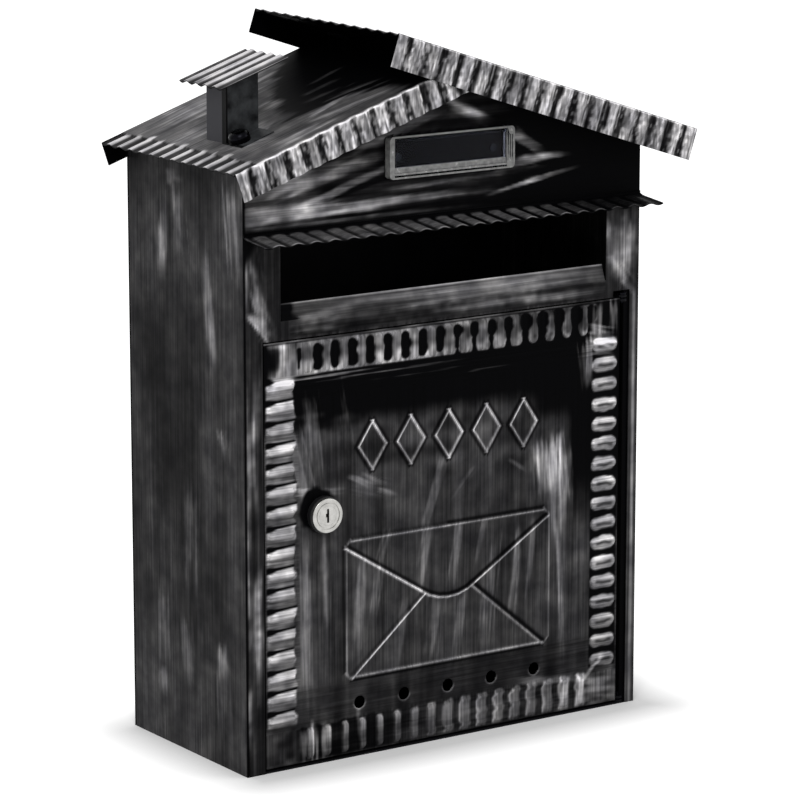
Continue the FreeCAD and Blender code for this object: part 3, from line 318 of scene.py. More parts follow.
def brushed_lacquer(name, along, across):
    """Black lacquer with silver brushed over it, along one direction or level."""
    material, tree, place = new_material(name)
    brush = add_node(tree, "Attribute", attribute_name="brush").outputs["Fac"]
    level = add_node(tree, "Attribute", attribute_name="level").outputs["Fac"]
    hair = add_node(tree, "MixRGB", {"Fac": level, "Color1": hair_noise(tree, place, along, across),
                                     "Color2": hair_noise(tree, place, (1, 0, 0), (0, 0, 1))})
    smear = add_node(tree, "TexNoise", {"Vector": place, "Scale": 1000 / SMEAR_MM, "Detail": 3.0})
    gain = add_node(tree, "MapRange", {"Value": hair, "From Min": 0.25, "From Max": 0.75,
                                       "To Min": 0.78, "To Max": 1.22})
    drift = add_node(tree, "MapRange", {"Value": smear, "From Min": 0.3, "From Max": 0.7,
                                        "To Min": 0.84, "To Max": 1.16})
    cover = add_node(tree, "Math", {0: brush, 1: gain}, operation="MULTIPLY")
    cover = add_node(tree, "Math", {0: cover, 1: drift}, operation="MULTIPLY", use_clamp=True)
    taken = add_node(tree, "MapRange", {"Value": cover, "From Min": 0.05})
    amount = add_node(tree, "Math", {0: taken, 1: 2.0}, operation="POWER", use_clamp=True)
    silver = add_node(tree, "MixRGB", {"Fac": smear, "Color1": "cdccd6", "Color2": "f4f1ee"})
    black = add_node(tree, "MixRGB", {"Fac": hair, "Color1": "020202", "Color2": "060608"})
    colour = add_node(tree, "MixRGB", {"Fac": amount, "Color1": black, "Color2": silver})
    metal = add_node(tree, "Math", {0: amount, 1: 0.45}, operation="MULTIPLY")
    rough = add_node(tree, "MapRange", {"Value": hair, "To Min": 0.38, "To Max": 0.52})
    bump = add_node(tree, "Bump", {"Height": cover, "Strength": 0.2, "Distance": 0.0003})
    shader = add_node(tree, "BsdfPrincipled", {"Base Color": colour, "Metallic": metal, "Roughness": rough,
                                               "Normal": bump, "Specular IOR Level": 0.012})
    add_node(tree, "OutputMaterial", {"Surface": shader})
    return material


brushed_upright = brushed_lacquer("Silver brushed upright over black lacquer", (0, 0, 1), (0.707, 0.707, 0))
SIDE_MARKS = [
    (-41, 292, -43, 358, 15, 0.13), (-43, 352, -66, 357, 13, 0.12), (-58, 354, -66, 296, 15, 0.15),
    (-119, 362, -127, 286, 26, 0.21), (-87, 322, -101, 228, 14, 0.14), (-105, 210, -110, 186, 12, 0.20),
    (-69, 180, -70, 74, 20, 0.13), (-38, 100, -37, 24, 17, 0.12), (-34, 48, -39, 26, 18, 0.18),
    (-62, 88, -67, 30, 20, 0.14), (-104, 82, -107, 0, 19, 0.13), (-102, 78, -106, 48, 17, 0.18),
    (-38, 328, -43, 276, 14, 0.18), (-94, 280, -99, 236, 8, 0.12), (-24, 240, -22, 60, 16, 0.04),
    (-118, 240, -116, 90, 16, 0.04)]


def side_sheet(name, side):
    """Side sheet with its two flanges; side is -1 on the left and 1 on the right."""
    low, high = span(name)
    outer = low[0] if side < 0 else high[0]
    inner = high[0] if side < 0 else low[0]
    path = [(outer - side * BACK_RETURN, high[1]), (outer, high[1]), (outer, low[1]), (inner, low[1])]
    path = folded(path[::-side], 1.3)
    x, z = lattice(path[:, 0], spread([0, high[2]], 3.0))
    y = np.broadcast_to(path[:, 1:], x.shape)
    silver = 0.11 + 0.08 * grain(z, y, 190, 15, 11 - side) + 0.04 * grain(z, y, 110, 6, 14)
    silver += 0.09 * grain(z, y, 60, 24, 15)
    silver = silver + 0.05 * smooth(z, 240, 330) + 0.06 * smooth(-z, -120, -40)
    silver += strokes(y, z if side < 0 else MARKS_TURNED - z, SIDE_MARKS, 20 - side)
    silver *= smooth(np.abs(x), abs(outer) - 2, abs(outer) - 0.2)
    return sheet(name + "_sheet", [(grid_of(x, y, z), silver, None, 0.0)], INNER_SKIN_SHEEN)


for node, side in (("side_panel_left", -1), ("side_panel_right", 1)):
    piece = side_sheet(node, side)
    piece.data.materials.append(brushed_upright)
    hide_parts(node)
    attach(piece, "housing")

# ---- floor --------------------------------------------------------------------------
# Steel tray with three upturned lips, and an angle across it that the door closes on.
# Both are spot welded in before the box is sprayed, and no brush reaches them.
for node in ("floor_pan", "door_threshold"):
    dress(node, black_lacquer)

# ---- front panel --------------------------------------------------------------------
# House-shaped sheet with the doorway and the letter slot cut out. Folds stiffen the
# doorway, and a strip of the sill leans inwards so that letters slide over it.
# The brush went along the gable and the sill and down the two narrow strips.
OPEN_LEFT, OPEN_RIGHT, OPEN_TOP = -132.3, 138.2, 263.6
SLOT_HALF, SLIT, SLOT_TOP = 119.6, 0.8, 328.6
FLAP_FOOT, FLAP_RISE, FLAP_LEAN = 275.0, 10.0, 20.0
NOTCH_LEFT, NOTCH_TOP = 125.2, 267.6
STILE_FOLD, RAIL_FOLD, SEAT_FOLD = 14.5, 10.0, 8.8
ROOF_PITCH = math.radians(18.4)
front_low, front_high = span("front_panel")
half_width, front_y = front_high[0], front_low[1]
GABLE_GRID = 96.0      # height of the gable's grid before it is fitted under the roof
GABLE_MARKS = [
    (-160, 338, -62, 339.5, 17, 0.26), (-156, 341, -90, 342, 6, 0.12), (-154, 334, -100, 335, 5, 0.18),
    (-154, 339, -20, 340, 12, 0.30), (-104, 338, 48, 339, 9, 0.34), (-70, 341, 84, 342, 6, 0.26),
    (-150, 331, 50, 332, 2.5, 0.24), (-110, 346, -48, 349, 4, 0.10), (-60, 345, 116, 351.5, 4, 0.30),
    (-128, 344, -54, 370, 6, 0.34), (-128, 350, -30, 374, 16, 0.30), (-112, 341, -58, 356, 6, 0.30),
    (-98, 343, -24, 365, 6, 0.28), (-10, 401, 44, 377, 8, 0.50), (-4, 394, 36, 379, 10, 0.28),
    (42, 377, 78, 356, 10, 0.28), (38, 358, 106, 357, 6, 0.52), (34, 354, 90, 357, 8, 0.26),
    (20, 335, 110, 351, 4, 0.36), (40, 343, 112, 350, 4, 0.28), (-70, 372, 10, 400, 24, 0.16),
    (-134, 350, -90, 364, 12, 0.18)]
STRIP_MARKS = [
    (-144, 326, -128, 258, 13, 0.20), (-140, 300, -124, 258, 12, 0.18), (-142, 284, -122, 258, 10, 0.38),
    (-143, 318, -142, 266, 4, 0.22), (-143, 258, -143, 96, 2.4, 0.30), (-141, 228, -139, 150, 8, 0.16),
    (-139, 140, -137, 30, 12, 0.32), (-142.6, 60, -142.4, 4, 3, 0.34), (-136, 255, -138, 180, 7, 0.16),
    (120, 294, 146, 262, 11, 0.20), (126, 316, 128, 266, 18, 0.28), (138, 314, 137, 270, 16, 0.28),
    (116, 290, 148, 284, 12, 0.20), (128, 276, 146, 264, 7, 0.24),
    (132, 322, 133, 268, 26, 0.12), (-143.5, 176, -143, 66, 5, 0.22)]
SILL_MARKS = [
    (-112, 280, 130, 283, 8, 0.20), (-112, 274, -60, 279, 10, 0.16), (-60, 276, 130, 279, 10, 0.16),
    (-20, 270, 126, 272, 8, 0.20), (50, 268, 124, 269, 5, 0.22), (-112, 268, -70, 270, 6, 0.16),
    (-40, 274, 30, 276, 5, 0.14), (20, 279, 140, 281, 12, 0.18)]


def middles(values):
    """Values at the middles of a grid's cells."""
    return 0.25 * (values[1:, 1:] + values[:-1, :-1] + values[1:, :-1] + values[:-1, 1:])


def gable_top(x):
    """Top edge of the house outline, just under the roof sheets."""
    left, right = span("roof_panel_left"), span("roof_panel_right")
    rise = math.tan(ROOF_PITCH)
    under = SHEET / math.cos(ROOF_PITCH)
    eave = front_high[2] + under - rise * right[1][0]
    return eave - under + rise * np.where(x <= 0, x - left[0][0], right[1][0] - x)


front_x = spread([-half_width, OPEN_LEFT, -SLOT_HALF, -SLOT_HALF + SLIT, 0, SLOT_HALF - SLIT, SLOT_HALF,
                  NOTCH_LEFT, OPEN_RIGHT, half_width], 1.5)
wall_z = spread([0, SHEET, OPEN_TOP, NOTCH_TOP, FLAP_FOOT, SLOT_TOP], 1.6)
gable_z = SLOT_TOP + spread([0, GABLE_GRID], 1.5)[1:]
x, z = lattice(front_x, np.concatenate([wall_z, gable_z]))
z = np.where(z > SLOT_TOP, SLOT_TOP + (z - SLOT_TOP) / GABLE_GRID * (gable_top(x) - SLOT_TOP), z)
mid_x, mid_z = middles(x), middles(z)
doorway = (mid_x > OPEN_LEFT) & (mid_x < OPEN_RIGHT) & (mid_z < OPEN_TOP)
notch = (mid_x > NOTCH_LEFT) & (mid_x < OPEN_RIGHT) & (mid_z > OPEN_TOP) & (mid_z < NOTCH_TOP)
slot = (np.abs(mid_x) < SLOT_HALF) & (mid_z > FLAP_FOOT) & (mid_z < SLOT_TOP)
gable = smooth(z, SLOT_TOP - 1, SLOT_TOP + 1)
flat_hair = grain(x, z, 90, 3.0, 31)
# The gable darkens towards the right: painted shadow under the right roof sheet, which overhangs it.
silver = gable * (0.04 + 0.14 * flat_hair) * (1 - 0.9 * smooth(x, 20, 80))
silver += 0.22 * gable * smooth(-x, 92, 112) * smooth(z, 340, 350)
wedge = smooth(x, -94, -84) * smooth(-x, 10, 40) * smooth(z - 0.24 * x, 362.5, 364.5)
wedge *= smooth(-z, -356, -350)
silver *= 1 - 0.8 * wedge
silver += gable * strokes(x, z, GABLE_MARKS, 40, 2.6) * (0.56 + 0.66 * grain(x, z, 9, 3.2, 35))
plate_low, plate_high = span("nameplate_tray")
plate = (x > plate_low[0]) & (x < plate_high[0]) & (z > plate_low[2]) & (z < plate_high[2])
silver *= 1 - 0.9 * plate
upright_hair = grain(z, x, 110, 2.0, 32)
below = 1 - gable
fuzz = grain(x, z, 4, 4, 36)
sill = below * smooth(x + 8 * fuzz, -108, -102) * (x < SLOT_HALF) * smooth(z, OPEN_TOP + 0.5, OPEN_TOP + 3)
upper_corner = below * smooth(z - 1.2 * (x + half_width), 306, 318) * (x < OPEN_LEFT)
right_strip = smooth(x, OPEN_RIGHT - 2, OPEN_RIGHT) * smooth(-z, -OPEN_TOP - 6, -OPEN_TOP)
silver += (below - sill) * (0.13 + 0.13 * upright_hair + 0.04 * right_strip)
silver += below * strokes(x, z, STRIP_MARKS, 60, 2.2) * (0.6 + 0.7 * fuzz)
silver *= 1 - 0.8 * upper_corner
silver += 0.34 * right_strip * np.exp(-((x - 141.6) / 0.9) ** 2)
# The sill is darker along its foot, just above the doorway: painted shade.
sill_silver = 0.10 + 0.09 * smooth(z, 265, 274) + 0.12 * flat_hair + 0.9 * strokes(x, z, SILL_MARKS, 80)
silver += sill * sill_silver * (0.7 + 0.4 * fuzz)
silver *= smooth(x, -half_width + 0.9, -half_width + 1.3)
level = np.maximum(gable, sill > 0)
patches = [(grid_of(x, front_y, z), silver, ~(doorway | notch | slot), level)]

# Its folds: beside and over the doorway, the leaning strip under the slot, and the roof seat.
ON_LINE = 0.01         # a grid line this near to an edge lies on it
rows = wall_z[(wall_z >= SHEET - ON_LINE) & (wall_z <= OPEN_TOP + ON_LINE)]
y, z = lattice(front_y + spread([0, STILE_FOLD], 2.5), rows)
patches.append((grid_of(OPEN_LEFT, y, z), 0.0, None, 0.0))
columns = front_x[(front_x >= OPEN_LEFT - ON_LINE) & (front_x <= NOTCH_LEFT + ON_LINE)]
x, y = lattice(columns, front_y + spread([0, RAIL_FOLD], 2.5)[::-1])
patches.append((grid_of(x, y, OPEN_TOP), 0.0, None, 1.0))
x, climb = lattice(front_x[np.abs(front_x) <= SLOT_HALF - SLIT + ON_LINE], spread([0, FLAP_RISE], 1.2))
flap_silver = 0.20 + 0.12 * grain(x, climb, 80, 3.0, 33)
flap_silver += 0.7 * strokes(x, FLAP_FOOT + climb, SILL_MARKS, 80)
silver = smooth(x + 8 * grain(x, climb, 4, 4, 36), -108, -102) * flap_silver
tip_lit = 0.40 * smooth(climb, FLAP_RISE - 1.1, FLAP_RISE - 0.2)
silver += tip_lit * (0.6 + 0.8 * grain(x, climb, 40, 9, 34))
lean = math.tan(math.radians(FLAP_LEAN))
patches.append((grid_of(x, front_y + lean * climb, FLAP_FOOT + climb), silver, None, 1.0))
x, back = lattice(front_x, spread([0, SEAT_FOLD], 3.0))
patches.append((grid_of(x, front_y + back, gable_top(x)), 0.0, None, 1.0))

piece = sheet("front_panel_sheet", patches, INNER_SKIN_SHEEN)
piece.data.materials.append(brushed_upright)
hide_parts("front_panel")
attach(piece, "housing")

# ---- slot awning --------------------------------------------------------------------
# Fluted steel canopy that keeps rain out of the slot, hooked through it and folded up
# behind the front. Mostly bare black, with thin grey on the crests and along its lip: painted
# highlight in place of the flutes' sheen.
FLUTE_PITCH, FLUTE_RISE = 12.7, 0.7
AWNING_DROOP = math.radians(5.6)
LIP_IN = 0.4           # edge of the lip behind the foremost point of the piece
ROOT_LIFT = 0.4        # share of the step up to its fold that the canopy takes at the wall


def wave(place, length, pitch):
    """Height of a flute from -1 to 1 along a strip that holds an odd number of halves."""
    halves = 2 * round((2 * length / pitch - 1) / 2) + 1
    return -np.sin(math.pi * place * halves / length)


low, high = span("slot_awning")
half = high[0]
out = (front_y - SHEET - low[1]) - LIP_IN
columns = spread([-half, half], 1.1)
x, run = lattice(columns, spread([0, out], 1.1))
crest = wave(x + half, 2 * half, FLUTE_PITCH)
join = smooth(run, out - 3, out)
root_z = SLOT_TOP - SHEET - FLUTE_RISE
z = root_z - math.tan(AWNING_DROOP) * (out - run) + FLUTE_RISE * crest * (1 - join)
z += (SLOT_TOP + SHEET - FLUTE_RISE - root_z) * join * ROOT_LIFT
y = low[1] + LIP_IN + run
dips = 0.45 * smooth(-x, -40, 60)
# Grey on the crests, and on the left in the dips as well: painted highlight.
crest_lit = dips + (1 - dips) * smooth(crest, -0.98, -0.3)
silver = (0.30 + 0.12 * grain(x, run, 5, 3, 91)) * crest_lit * (1 - 0.8 * join)
silver *= 1 - 0.65 * smooth(x, 30, 120)
# A thin painted highlight along the lip.
silver += 0.22 * smooth(-run, -1.0, -0.2) * smooth(crest, -0.9, 0.3)
patches = [(grid_of(x, y, z), silver, None, 1.0)]
x, climb = lattice(columns, spread([0, 1.0], 0.4))
foot = z[:, -1:]
patches.append((grid_of(x, y[0, -1], foot + (SLOT_TOP + SHEET - foot) * climb), 0.06, None, 1.0))
piece = sheet("slot_awning_sheet", patches)
piece.data.materials.append(brushed_upright)
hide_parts("slot_awning")
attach(piece, "housing")

# ---- roof ---------------------------------------------------------------------------
# Two steel sheets with a fluted fascia at the front, flutes pressed into the eaves and
# a plain fold behind the back panel. The right one runs on past the ridge over the left.
# Fascias and eaves took most of the silver, as a dry brush catches every crest.
EAVE_BAND = 15.0
BACK_FOLD = 15.5
ROOF_TOP_MARKS = [
    (22, -20, 150, -8, 60, 0.22), (6, -60, 60, -60, 30, 0.14), (34, -112, 66, -92, 26, 0.14),
    (30, -140, 92, -138, 12, 0.22), (60, -128, 140, -144, 12, 0.18), (70, -122, 112, -112, 8, 0.20),
    (66, -76, 110, -64, 20, 0.20), (20, -100, 50, -130, 16, 0.12)]
RIDGE_MARKS = [
    (86, -106, 146, -116, 9, 0.20), (82, -94, 140, -100, 8, 0.17), (90, -82, 136, -84, 7, 0.15),
    (96, -118, 150, -128, 6, 0.18), (104, -70, 150, -66, 8, 0.12)]
# Painted shadow near the ridge, where the right sheet runs on over the left: from these places up the slope,
# y against s, the left sheet's silver is taken away.
RIDGE_SHADOW_Y = (-139, -126, -115, -110, -61, -6)
RIDGE_SHADOW_S = (132, 120, 104, 68, 85, 136)


def roof_sheet(node, side, fascia, bands):
    """Roof sheet; side is -1 for the left one, and bands is how many ends carry flutes."""
    low, high = span(node)
    sine, cosine = math.sin(ROOF_PITCH), math.cos(ROOF_PITCH)
    length = (high[0] - low[0] - fascia * sine) / cosine
    front, back = low[1] + FLUTE_RISE, high[1]
    ends = [0, EAVE_BAND - 1.5, EAVE_BAND + 1.0, length]
    if bands == 2:
        ends = ends[:-1] + [length - EAVE_BAND - 1.0, length - EAVE_BAND + 1.5, length]
    along = spread(ends, 1.2)
    girth = folded([(front, -fascia), (front, 0), (back, 0), (back, -BACK_FOLD)], 1.25)
    s, y = lattice(along, girth[:, 0])
    h = np.broadcast_to(girth[:, 1], s.shape)
    crest = -wave(s, length, FLUTE_PITCH)
    near = smooth(-(y - front), -5.0, -0.5)
    flute = wave(y - front, back - front, FLUTE_PITCH)
    inside = smooth(y, front + 0.5, front + 3.0) * smooth(back - y, 0.4, 2.0) * (h > -BEND_R)
    band = 1 - smooth(s, EAVE_BAND - 1.5, EAVE_BAND + 1.0)
    if bands == 2:
        band = np.maximum(band, smooth(s, length - EAVE_BAND - 1.0, length - EAVE_BAND + 1.5))
    top = h > -BEND_R
    hairs = grain(h + 0.15 * s, s, 16, 0.9, 101 + side)
    specks = grain(h, s, 2.4, 1.1, 103 + side)
    lit = smooth(crest + 0.9 * (hairs - 0.5) + 0.6 * (specks - 0.5), -0.95, 0.20)
    fascia_silver = (0.20 + 0.60 * lit) * (0.50 + 0.66 * hairs) * (0.66 + 0.60 * specks)
    fascia_silver += 0.20 * (1 - lit) * smooth(specks * hairs, 0.2, 0.5)
    fascia_silver = np.where(y < front + 0.6, fascia_silver, 0)
    edge = np.exp(-((y - front) / 1.6) ** 2 - (h / 1.4) ** 2)
    ribs = 0.26 + 0.72 * smooth(flute, -0.1, 0.7) * (0.75 + 0.4 * grain(s, y, 9, 1.2, 105))
    worn = 8 * grain(s, y, 16, 4, 106)
    faded = smooth(s + worn, EAVE_BAND + 3, EAVE_BAND + 10) * (1 - (s > length / 2) * band)
    ribs = inside * ribs * (1 - faded)
    if side < 0:
        plain = 0.26 + 0.10 * grain(s, y, 60, 8.0, 107) + strokes(s, y, ROOF_TOP_MARKS, 110)
        plain += 0.10 * smooth(-s, -80, -30)
        # The left sheet turns black up the slope from here: painted shadow of the right sheet.
        shadow_from = np.interp(y, RIDGE_SHADOW_Y, RIDGE_SHADOW_S) + 14 * (grain(s, y, 40, 5.0, 130) - 0.5)
        plain *= 1 - 0.96 * smooth(s + 5 * grain(s, y, 20, 1.6, 131), shadow_from - 4, shadow_from + 10)
        plain += strokes(s, y, RIDGE_MARKS, 190, 1.6)
    else:
        plain = 0.18 + 0.12 * grain(s, y, 70, 5.0, 108) + strokes(s, y, ROOF_TOP_MARKS, 150)
    plain = plain * (1 - band) * top
    # Grey over the back fold's outside: painted sheen.
    behind = 0.16 * (y > back - BEND_R)
    # A painted highlight along the fascia's top bend, stronger on the left sheet.
    bend_highlight = (0.40 if side < 0 else 0.12) * edge
    silver = np.where(top, np.maximum(ribs, plain), 0) + fascia_silver + bend_highlight + behind
    y = y - FLUTE_RISE * crest * near
    h = h - FLUTE_RISE * (1 - flute) * band * inside
    if side < 0:
        x = low[0] + s * cosine - h * sine
    else:
        x = high[0] - s * cosine + h * sine
    eave = high[2] - length * sine
    grid = grid_of(x, y, eave + s * sine + h * cosine)
    if side > 0:
        grid, silver = grid[::-1], silver[::-1]
    return sheet(node + "_sheet", [(grid, silver, None, 0.0)])


brushed_down = brushed_lacquer("Silver brushed down the roof over black lacquer",
                               (math.cos(ROOF_PITCH), 0, math.sin(ROOF_PITCH)), (0, 1, 0))
for node, side, fascia, bands in (("roof_panel_left", -1, 18.0, 1), ("roof_panel_right", 1, 20.3, 2)):
    piece = roof_sheet(node, side, fascia, bands)
    piece.data.materials.append(brushed_down)
    piece.data.materials.append(brushed_upright)
    for face in piece.data.polygons:
        face.material_index = int(face.normal.y < -0.7)
    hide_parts(node)
    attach(piece, "housing")

# ---- chimney ------------------------------------------------------------------------
# Two folded steel channels under a fluted cap, held on the roof by one domed bolt.
# The front one stays nearly bare; the cap's four crests are almost solid silver.
CAP_PITCH, CAP_RISE = 10.5, 0.8
low, high = span("chimney_cap")
sine, cosine = math.sin(ROOF_PITCH), math.cos(ROOF_PITCH)
cap_depth = high[1] - low[1]
cap_length = (high[0] - low[0] - (SHEET + 2 * CAP_RISE) * sine) / cosine
s, y = lattice(spread([0, cap_length], 1.2), low[1] + spread([0, cap_depth], 0.7))
crest = wave(y - low[1], cap_depth, CAP_PITCH)
h = CAP_RISE * crest
hairs = grain(s, y, 26, 1.1, 171)
silver = (0.34 + 0.68 * smooth(crest, -0.45, 0.45)) * (0.80 + 0.32 * hairs)
silver *= 1 - 0.25 * smooth(-s, -10, 0)
top_z = high[2] - cap_length * sine
x = low[0] + (SHEET + 2 * CAP_RISE) * sine + s * cosine - (h + CAP_RISE) * sine
z = top_z + s * sine + (h - CAP_RISE) * cosine
piece = sheet("chimney_cap_sheet", [(grid_of(x, y, z), silver, None, 0.0)])
piece.data.materials.append(brushed_down)
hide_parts("chimney_cap")
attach(piece, "housing")

# The channel behind was wiped evenly with thinned silver, which leaves a plain dark grey.
# The front one has thin clouds of it, up to its left lip, which is pure black as painted shade.
grey_lacquer = sprayed_lacquer("Black lacquer, wiped grey", "3e3e42", "4c4c50")
# The front's left lip and its bend, which carry the painted shade.
LIP_AND_BEND = 1.3 * SHEET / 1000
lip_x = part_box("chimney_front")[0][0] + LIP_AND_BEND
smoky_lacquer_shaded_lip = sprayed_lacquer("Black lacquer, lightly wiped, shaded lip", "08080a", "404244", 9.0, lip_x)
dress("chimney_box", grey_lacquer)
dress("chimney_front", smoky_lacquer_shaded_lip)


def fine_finish(name, dark, light, grain_mm, detail, gloss, relief, **surface):
    """Finish with one fine noise, which mottles its colour, its gloss and its relief."""
    material, tree, place = new_material(name)
    noise = add_node(tree, "TexNoise", {"Vector": place, "Scale": 1000 / grain_mm, "Detail": detail})
    colour = add_node(tree, "MixRGB", {"Fac": noise, "Color1": dark, "Color2": light})
    rough = add_node(tree, "MapRange", {"Value": noise, "To Min": gloss[0], "To Max": gloss[1]})
    bump = add_node(tree, "Bump", {"Height": noise, "Strength": relief[0], "Distance": relief[1]})
    shader = add_node(tree, "BsdfPrincipled", {"Base Color": colour, "Roughness": rough, "Normal": bump,
                                               **surface})
    add_node(tree, "OutputMaterial", {"Surface": shader})
    return material


# Screws and pins: low-carbon steel, cold headed. Black oxide looks deep black with an
# oily gloss, and zinc plate pale bluish grey. Both are faintly mottled every 2 mm, drawn
# coarser than the real grain of the plating so that it shows.
PLATING_MM = 2.0
black_oxide = fine_finish("Black oxide steel", "08080a", "16161a", PLATING_MM, 3.0, (0.18, 0.34),
                          (0.08, 0.0002), Metallic=1.0)
zinc_steel = fine_finish("Zinc plated steel", "9fa3a8", "c3c6ca", PLATING_MM, 3.0, (0.28, 0.44),
                         (0.08, 0.0002), Metallic=1.0)
dress("chimney_bolt", black_oxide)
dress("chimney_nut", zinc_steel)

# ---- name plate ---------------------------------------------------------------------
# Injection moulded acrylic tray, clear, with a ribbed window that slides out sideways
# so that a name card can be slipped in. Two black nylon studs hold it on the gable.

# Acrylic: its polished faces are clear, and its edges gather light and look pale and
# frosty. Nylon: a dull black with the grit of its mould, which is 0.9 mm, drawn coarser
# than the real 0.1 mm so that it shows.
FLOW_MM, GRIT_MM = 3.0, 0.9


def acrylic(name, dark, light, gloss, clearness, shine):
    """Clear acrylic with faint flow lines in its gloss."""
    return fine_finish(name, dark, light, FLOW_MM, 3.0, gloss, (0.1, 0.0002),
                       **{"Transmission Weight": clearness, "IOR": 1.49, "Specular Tint": shine})


clear_face = acrylic("Clear acrylic, polished faces", "c0c4d6", "d4d8e6", (0.03, 0.11), 1.0, "0a0a0a")
clear_edge = acrylic("Clear acrylic, edges that gather light", "4c4c4e", "b8b8b6", (0.22, 0.30), 0.25,
                     "606060")
black_nylon = fine_finish("Black nylon, moulded", "0a0a0b", "18181a", GRIT_MM, 2.0, (0.4, 0.6),
                          (0.15, 0.0001), **{"IOR": 1.53, "Specular IOR Level": 0.3})
RAIL, LEDGE, BORDER = 3.4, 6.6, 1.1
GRIP, GRIP_RIB_W = 5.7, 0.6


def cut_at(mesh, places):
    """Cuts a mesh by planes, each an axis and a place on it in millimetres."""
    shape = bmesh.new()
    shape.from_mesh(mesh)
    for axis, place in places:
        normal = [float(axis == k) for k in range(3)]
        point = [place / 1000 * value for value in normal]
        bmesh.ops.bisect_plane(shape, geom=shape.verts[:] + shape.edges[:] + shape.faces[:],
                               plane_co=point, plane_no=normal)
    shape.to_mesh(mesh)
    shape.free()


def acrylic_copy(node, body, is_edge, places):
    """Copy of an acrylic CAD piece, clear where one looks through it and frosty at its edges."""
    mesh = nodes[node].data.copy()
    mesh.transform(nodes[node].matrix_world)
    mesh.materials.clear()
    mesh.materials.append(clear_face)
    mesh.materials.append(clear_edge)
    cut_at(mesh, [(axis, place + (1000 * base_z if axis == 2 else 0)) for axis, place in places])
    for face in mesh.polygons:
        x, z = 1000 * face.center.x, 1000 * (face.center.z - base_z)
        face.material_index = int(is_edge(x, z, face.normal))
    piece = add_object(node + "_moulding", mesh)
    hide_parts(node)
    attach(piece, body)


tray_low, tray_high = span("nameplate_tray")
window_high = span("nameplate_window")[1]


def tray_edge(x, z, normal):
    """True on the tray's left end, lower ledge and outer border."""
    outer = x < tray_low[0] + RAIL or z < tray_low[2] + LEDGE or z > tray_high[2] - BORDER
    joint = x > tray_low[0] + RAIL and tray_low[2] + BORDER < z < tray_low[2] + 2 * BORDER
    return outer and not joint and (normal.y < -0.5 or normal.x < -0.5)


def window_edge(x, z, normal):
    """True on the window's lower ledge, the ribs of its grip and its right border."""
    place = (window_high[0] - x) % (GRIP / 4)
    rib = x > window_high[0] - GRIP and min(place, GRIP / 4 - place) < 0.6 * GRIP_RIB_W
    border = z > window_high[2] - BORDER or x > window_high[0] - BORDER or z < tray_low[2] + LEDGE
    return normal.x < -0.5 or normal.y < -0.5 and (rib or border)


acrylic_copy("nameplate_tray", "housing", tray_edge,
             [(0, tray_low[0] + RAIL), (2, tray_low[2] + LEDGE), (2, tray_high[2] - BORDER),
              (2, tray_low[2] + BORDER), (2, tray_low[2] + 2 * BORDER)])
acrylic_copy("nameplate_window", "window", window_edge,
             [(2, tray_low[2] + LEDGE), (2, window_high[2] - BORDER), (0, window_high[0] - BORDER)])
dress("nameplate_studs", black_nylon)

# ---- hinge --------------------------------------------------------------------------
# Two steel angles riveted inside the right side panel, and two ears welded in the door.
# The angles and ears are lacquered with their sheets; pins and rivets are black oxide.
for node in ("hinge_bracket_top", "hinge_bracket_bottom", "door_lug_top", "door_lug_bottom"):
    dress(node, black_lacquer)
for node in ("hinge_pin_top", "hinge_pin_bottom", "hinge_rivets"):
    dress(node, black_oxide)

# ---- door ---------------------------------------------------------------------------
# Steel sheet pressed in one die: a border of beads, an envelope, five plain lozenges and
# a fine line under the top row, then four edges folded back and five view holes punched.
# The brush crossed the border bead by bead and ran down the middle in thin streaks.
BEAD_L, BEAD_W, BEAD_H, BEAD_WALL, BEAD_INSET = 19.5, 6.6, 1.4, 1.3, 11.35
PATTERN_X, PATTERN_Z = 1.7, 132.95
BEADS_PER_SIDE = 17
DOOR_FOLD = 8.0
RIDGE_R, RIDGE_H = 1.8, 0.9
STEP_Z, STEP_R, STEP_H = 236.5, 0.9, 0.4
ENVELOPE_HALF, ENVELOPE_LOW, ENVELOPE_HIGH, ENVELOPE_CORNER = 75.5, 49.5, 135.5, 4.0
TIP_Z, TIP_HALF, TIP_RISE, SEAM_Z = 90.5, 20.0, 6.5, 94.5
LOZENGES, LOZENGE_W, LOZENGE_H, LOZENGE_PITCH, LOZENGE_Z = 5, 21.0, 31.0, 28.0, 192.5
HOLES, HOLE_R, HOLE_PITCH, HOLE_Z = 5, 4.0, 32.7, 33.5
LOCK_X, LOCK_Z, LOCK_HOLE_R = -89.6, 154.5, 9.0
DOOR_STEP = 0.85
low, high = span("door_panel")
door_left, door_right, door_low, door_high = low[0], high[0], low[2], high[2]
door_y = high[1] - DOOR_FOLD


def to_line(x, z, start, end):
    """Distance from a line between two points, how far along it that is, and how far right of it."""
    run = np.array(end, float) - np.array(start, float)
    part = ((x - start[0]) * run[0] + (z - start[1]) * run[1]) / (run @ run)
    near = np.clip(part, 0, 1)
    right = ((x - start[0]) * run[1] - (z - start[1]) * run[0]) / np.hypot(*run)
    return np.hypot(x - start[0] - near * run[0], z - start[1] - near * run[1]), near, right


def pill(x, z, length, width):
    """Depth inside a rounded bar along z around the origin, in millimetres."""
    return 0.5 * width - np.hypot(x, np.maximum(np.abs(z) - 0.5 * (length - width), 0))


def chain(points):
    """Pairs of neighbouring points."""
    return list(zip(points, points[1:]))


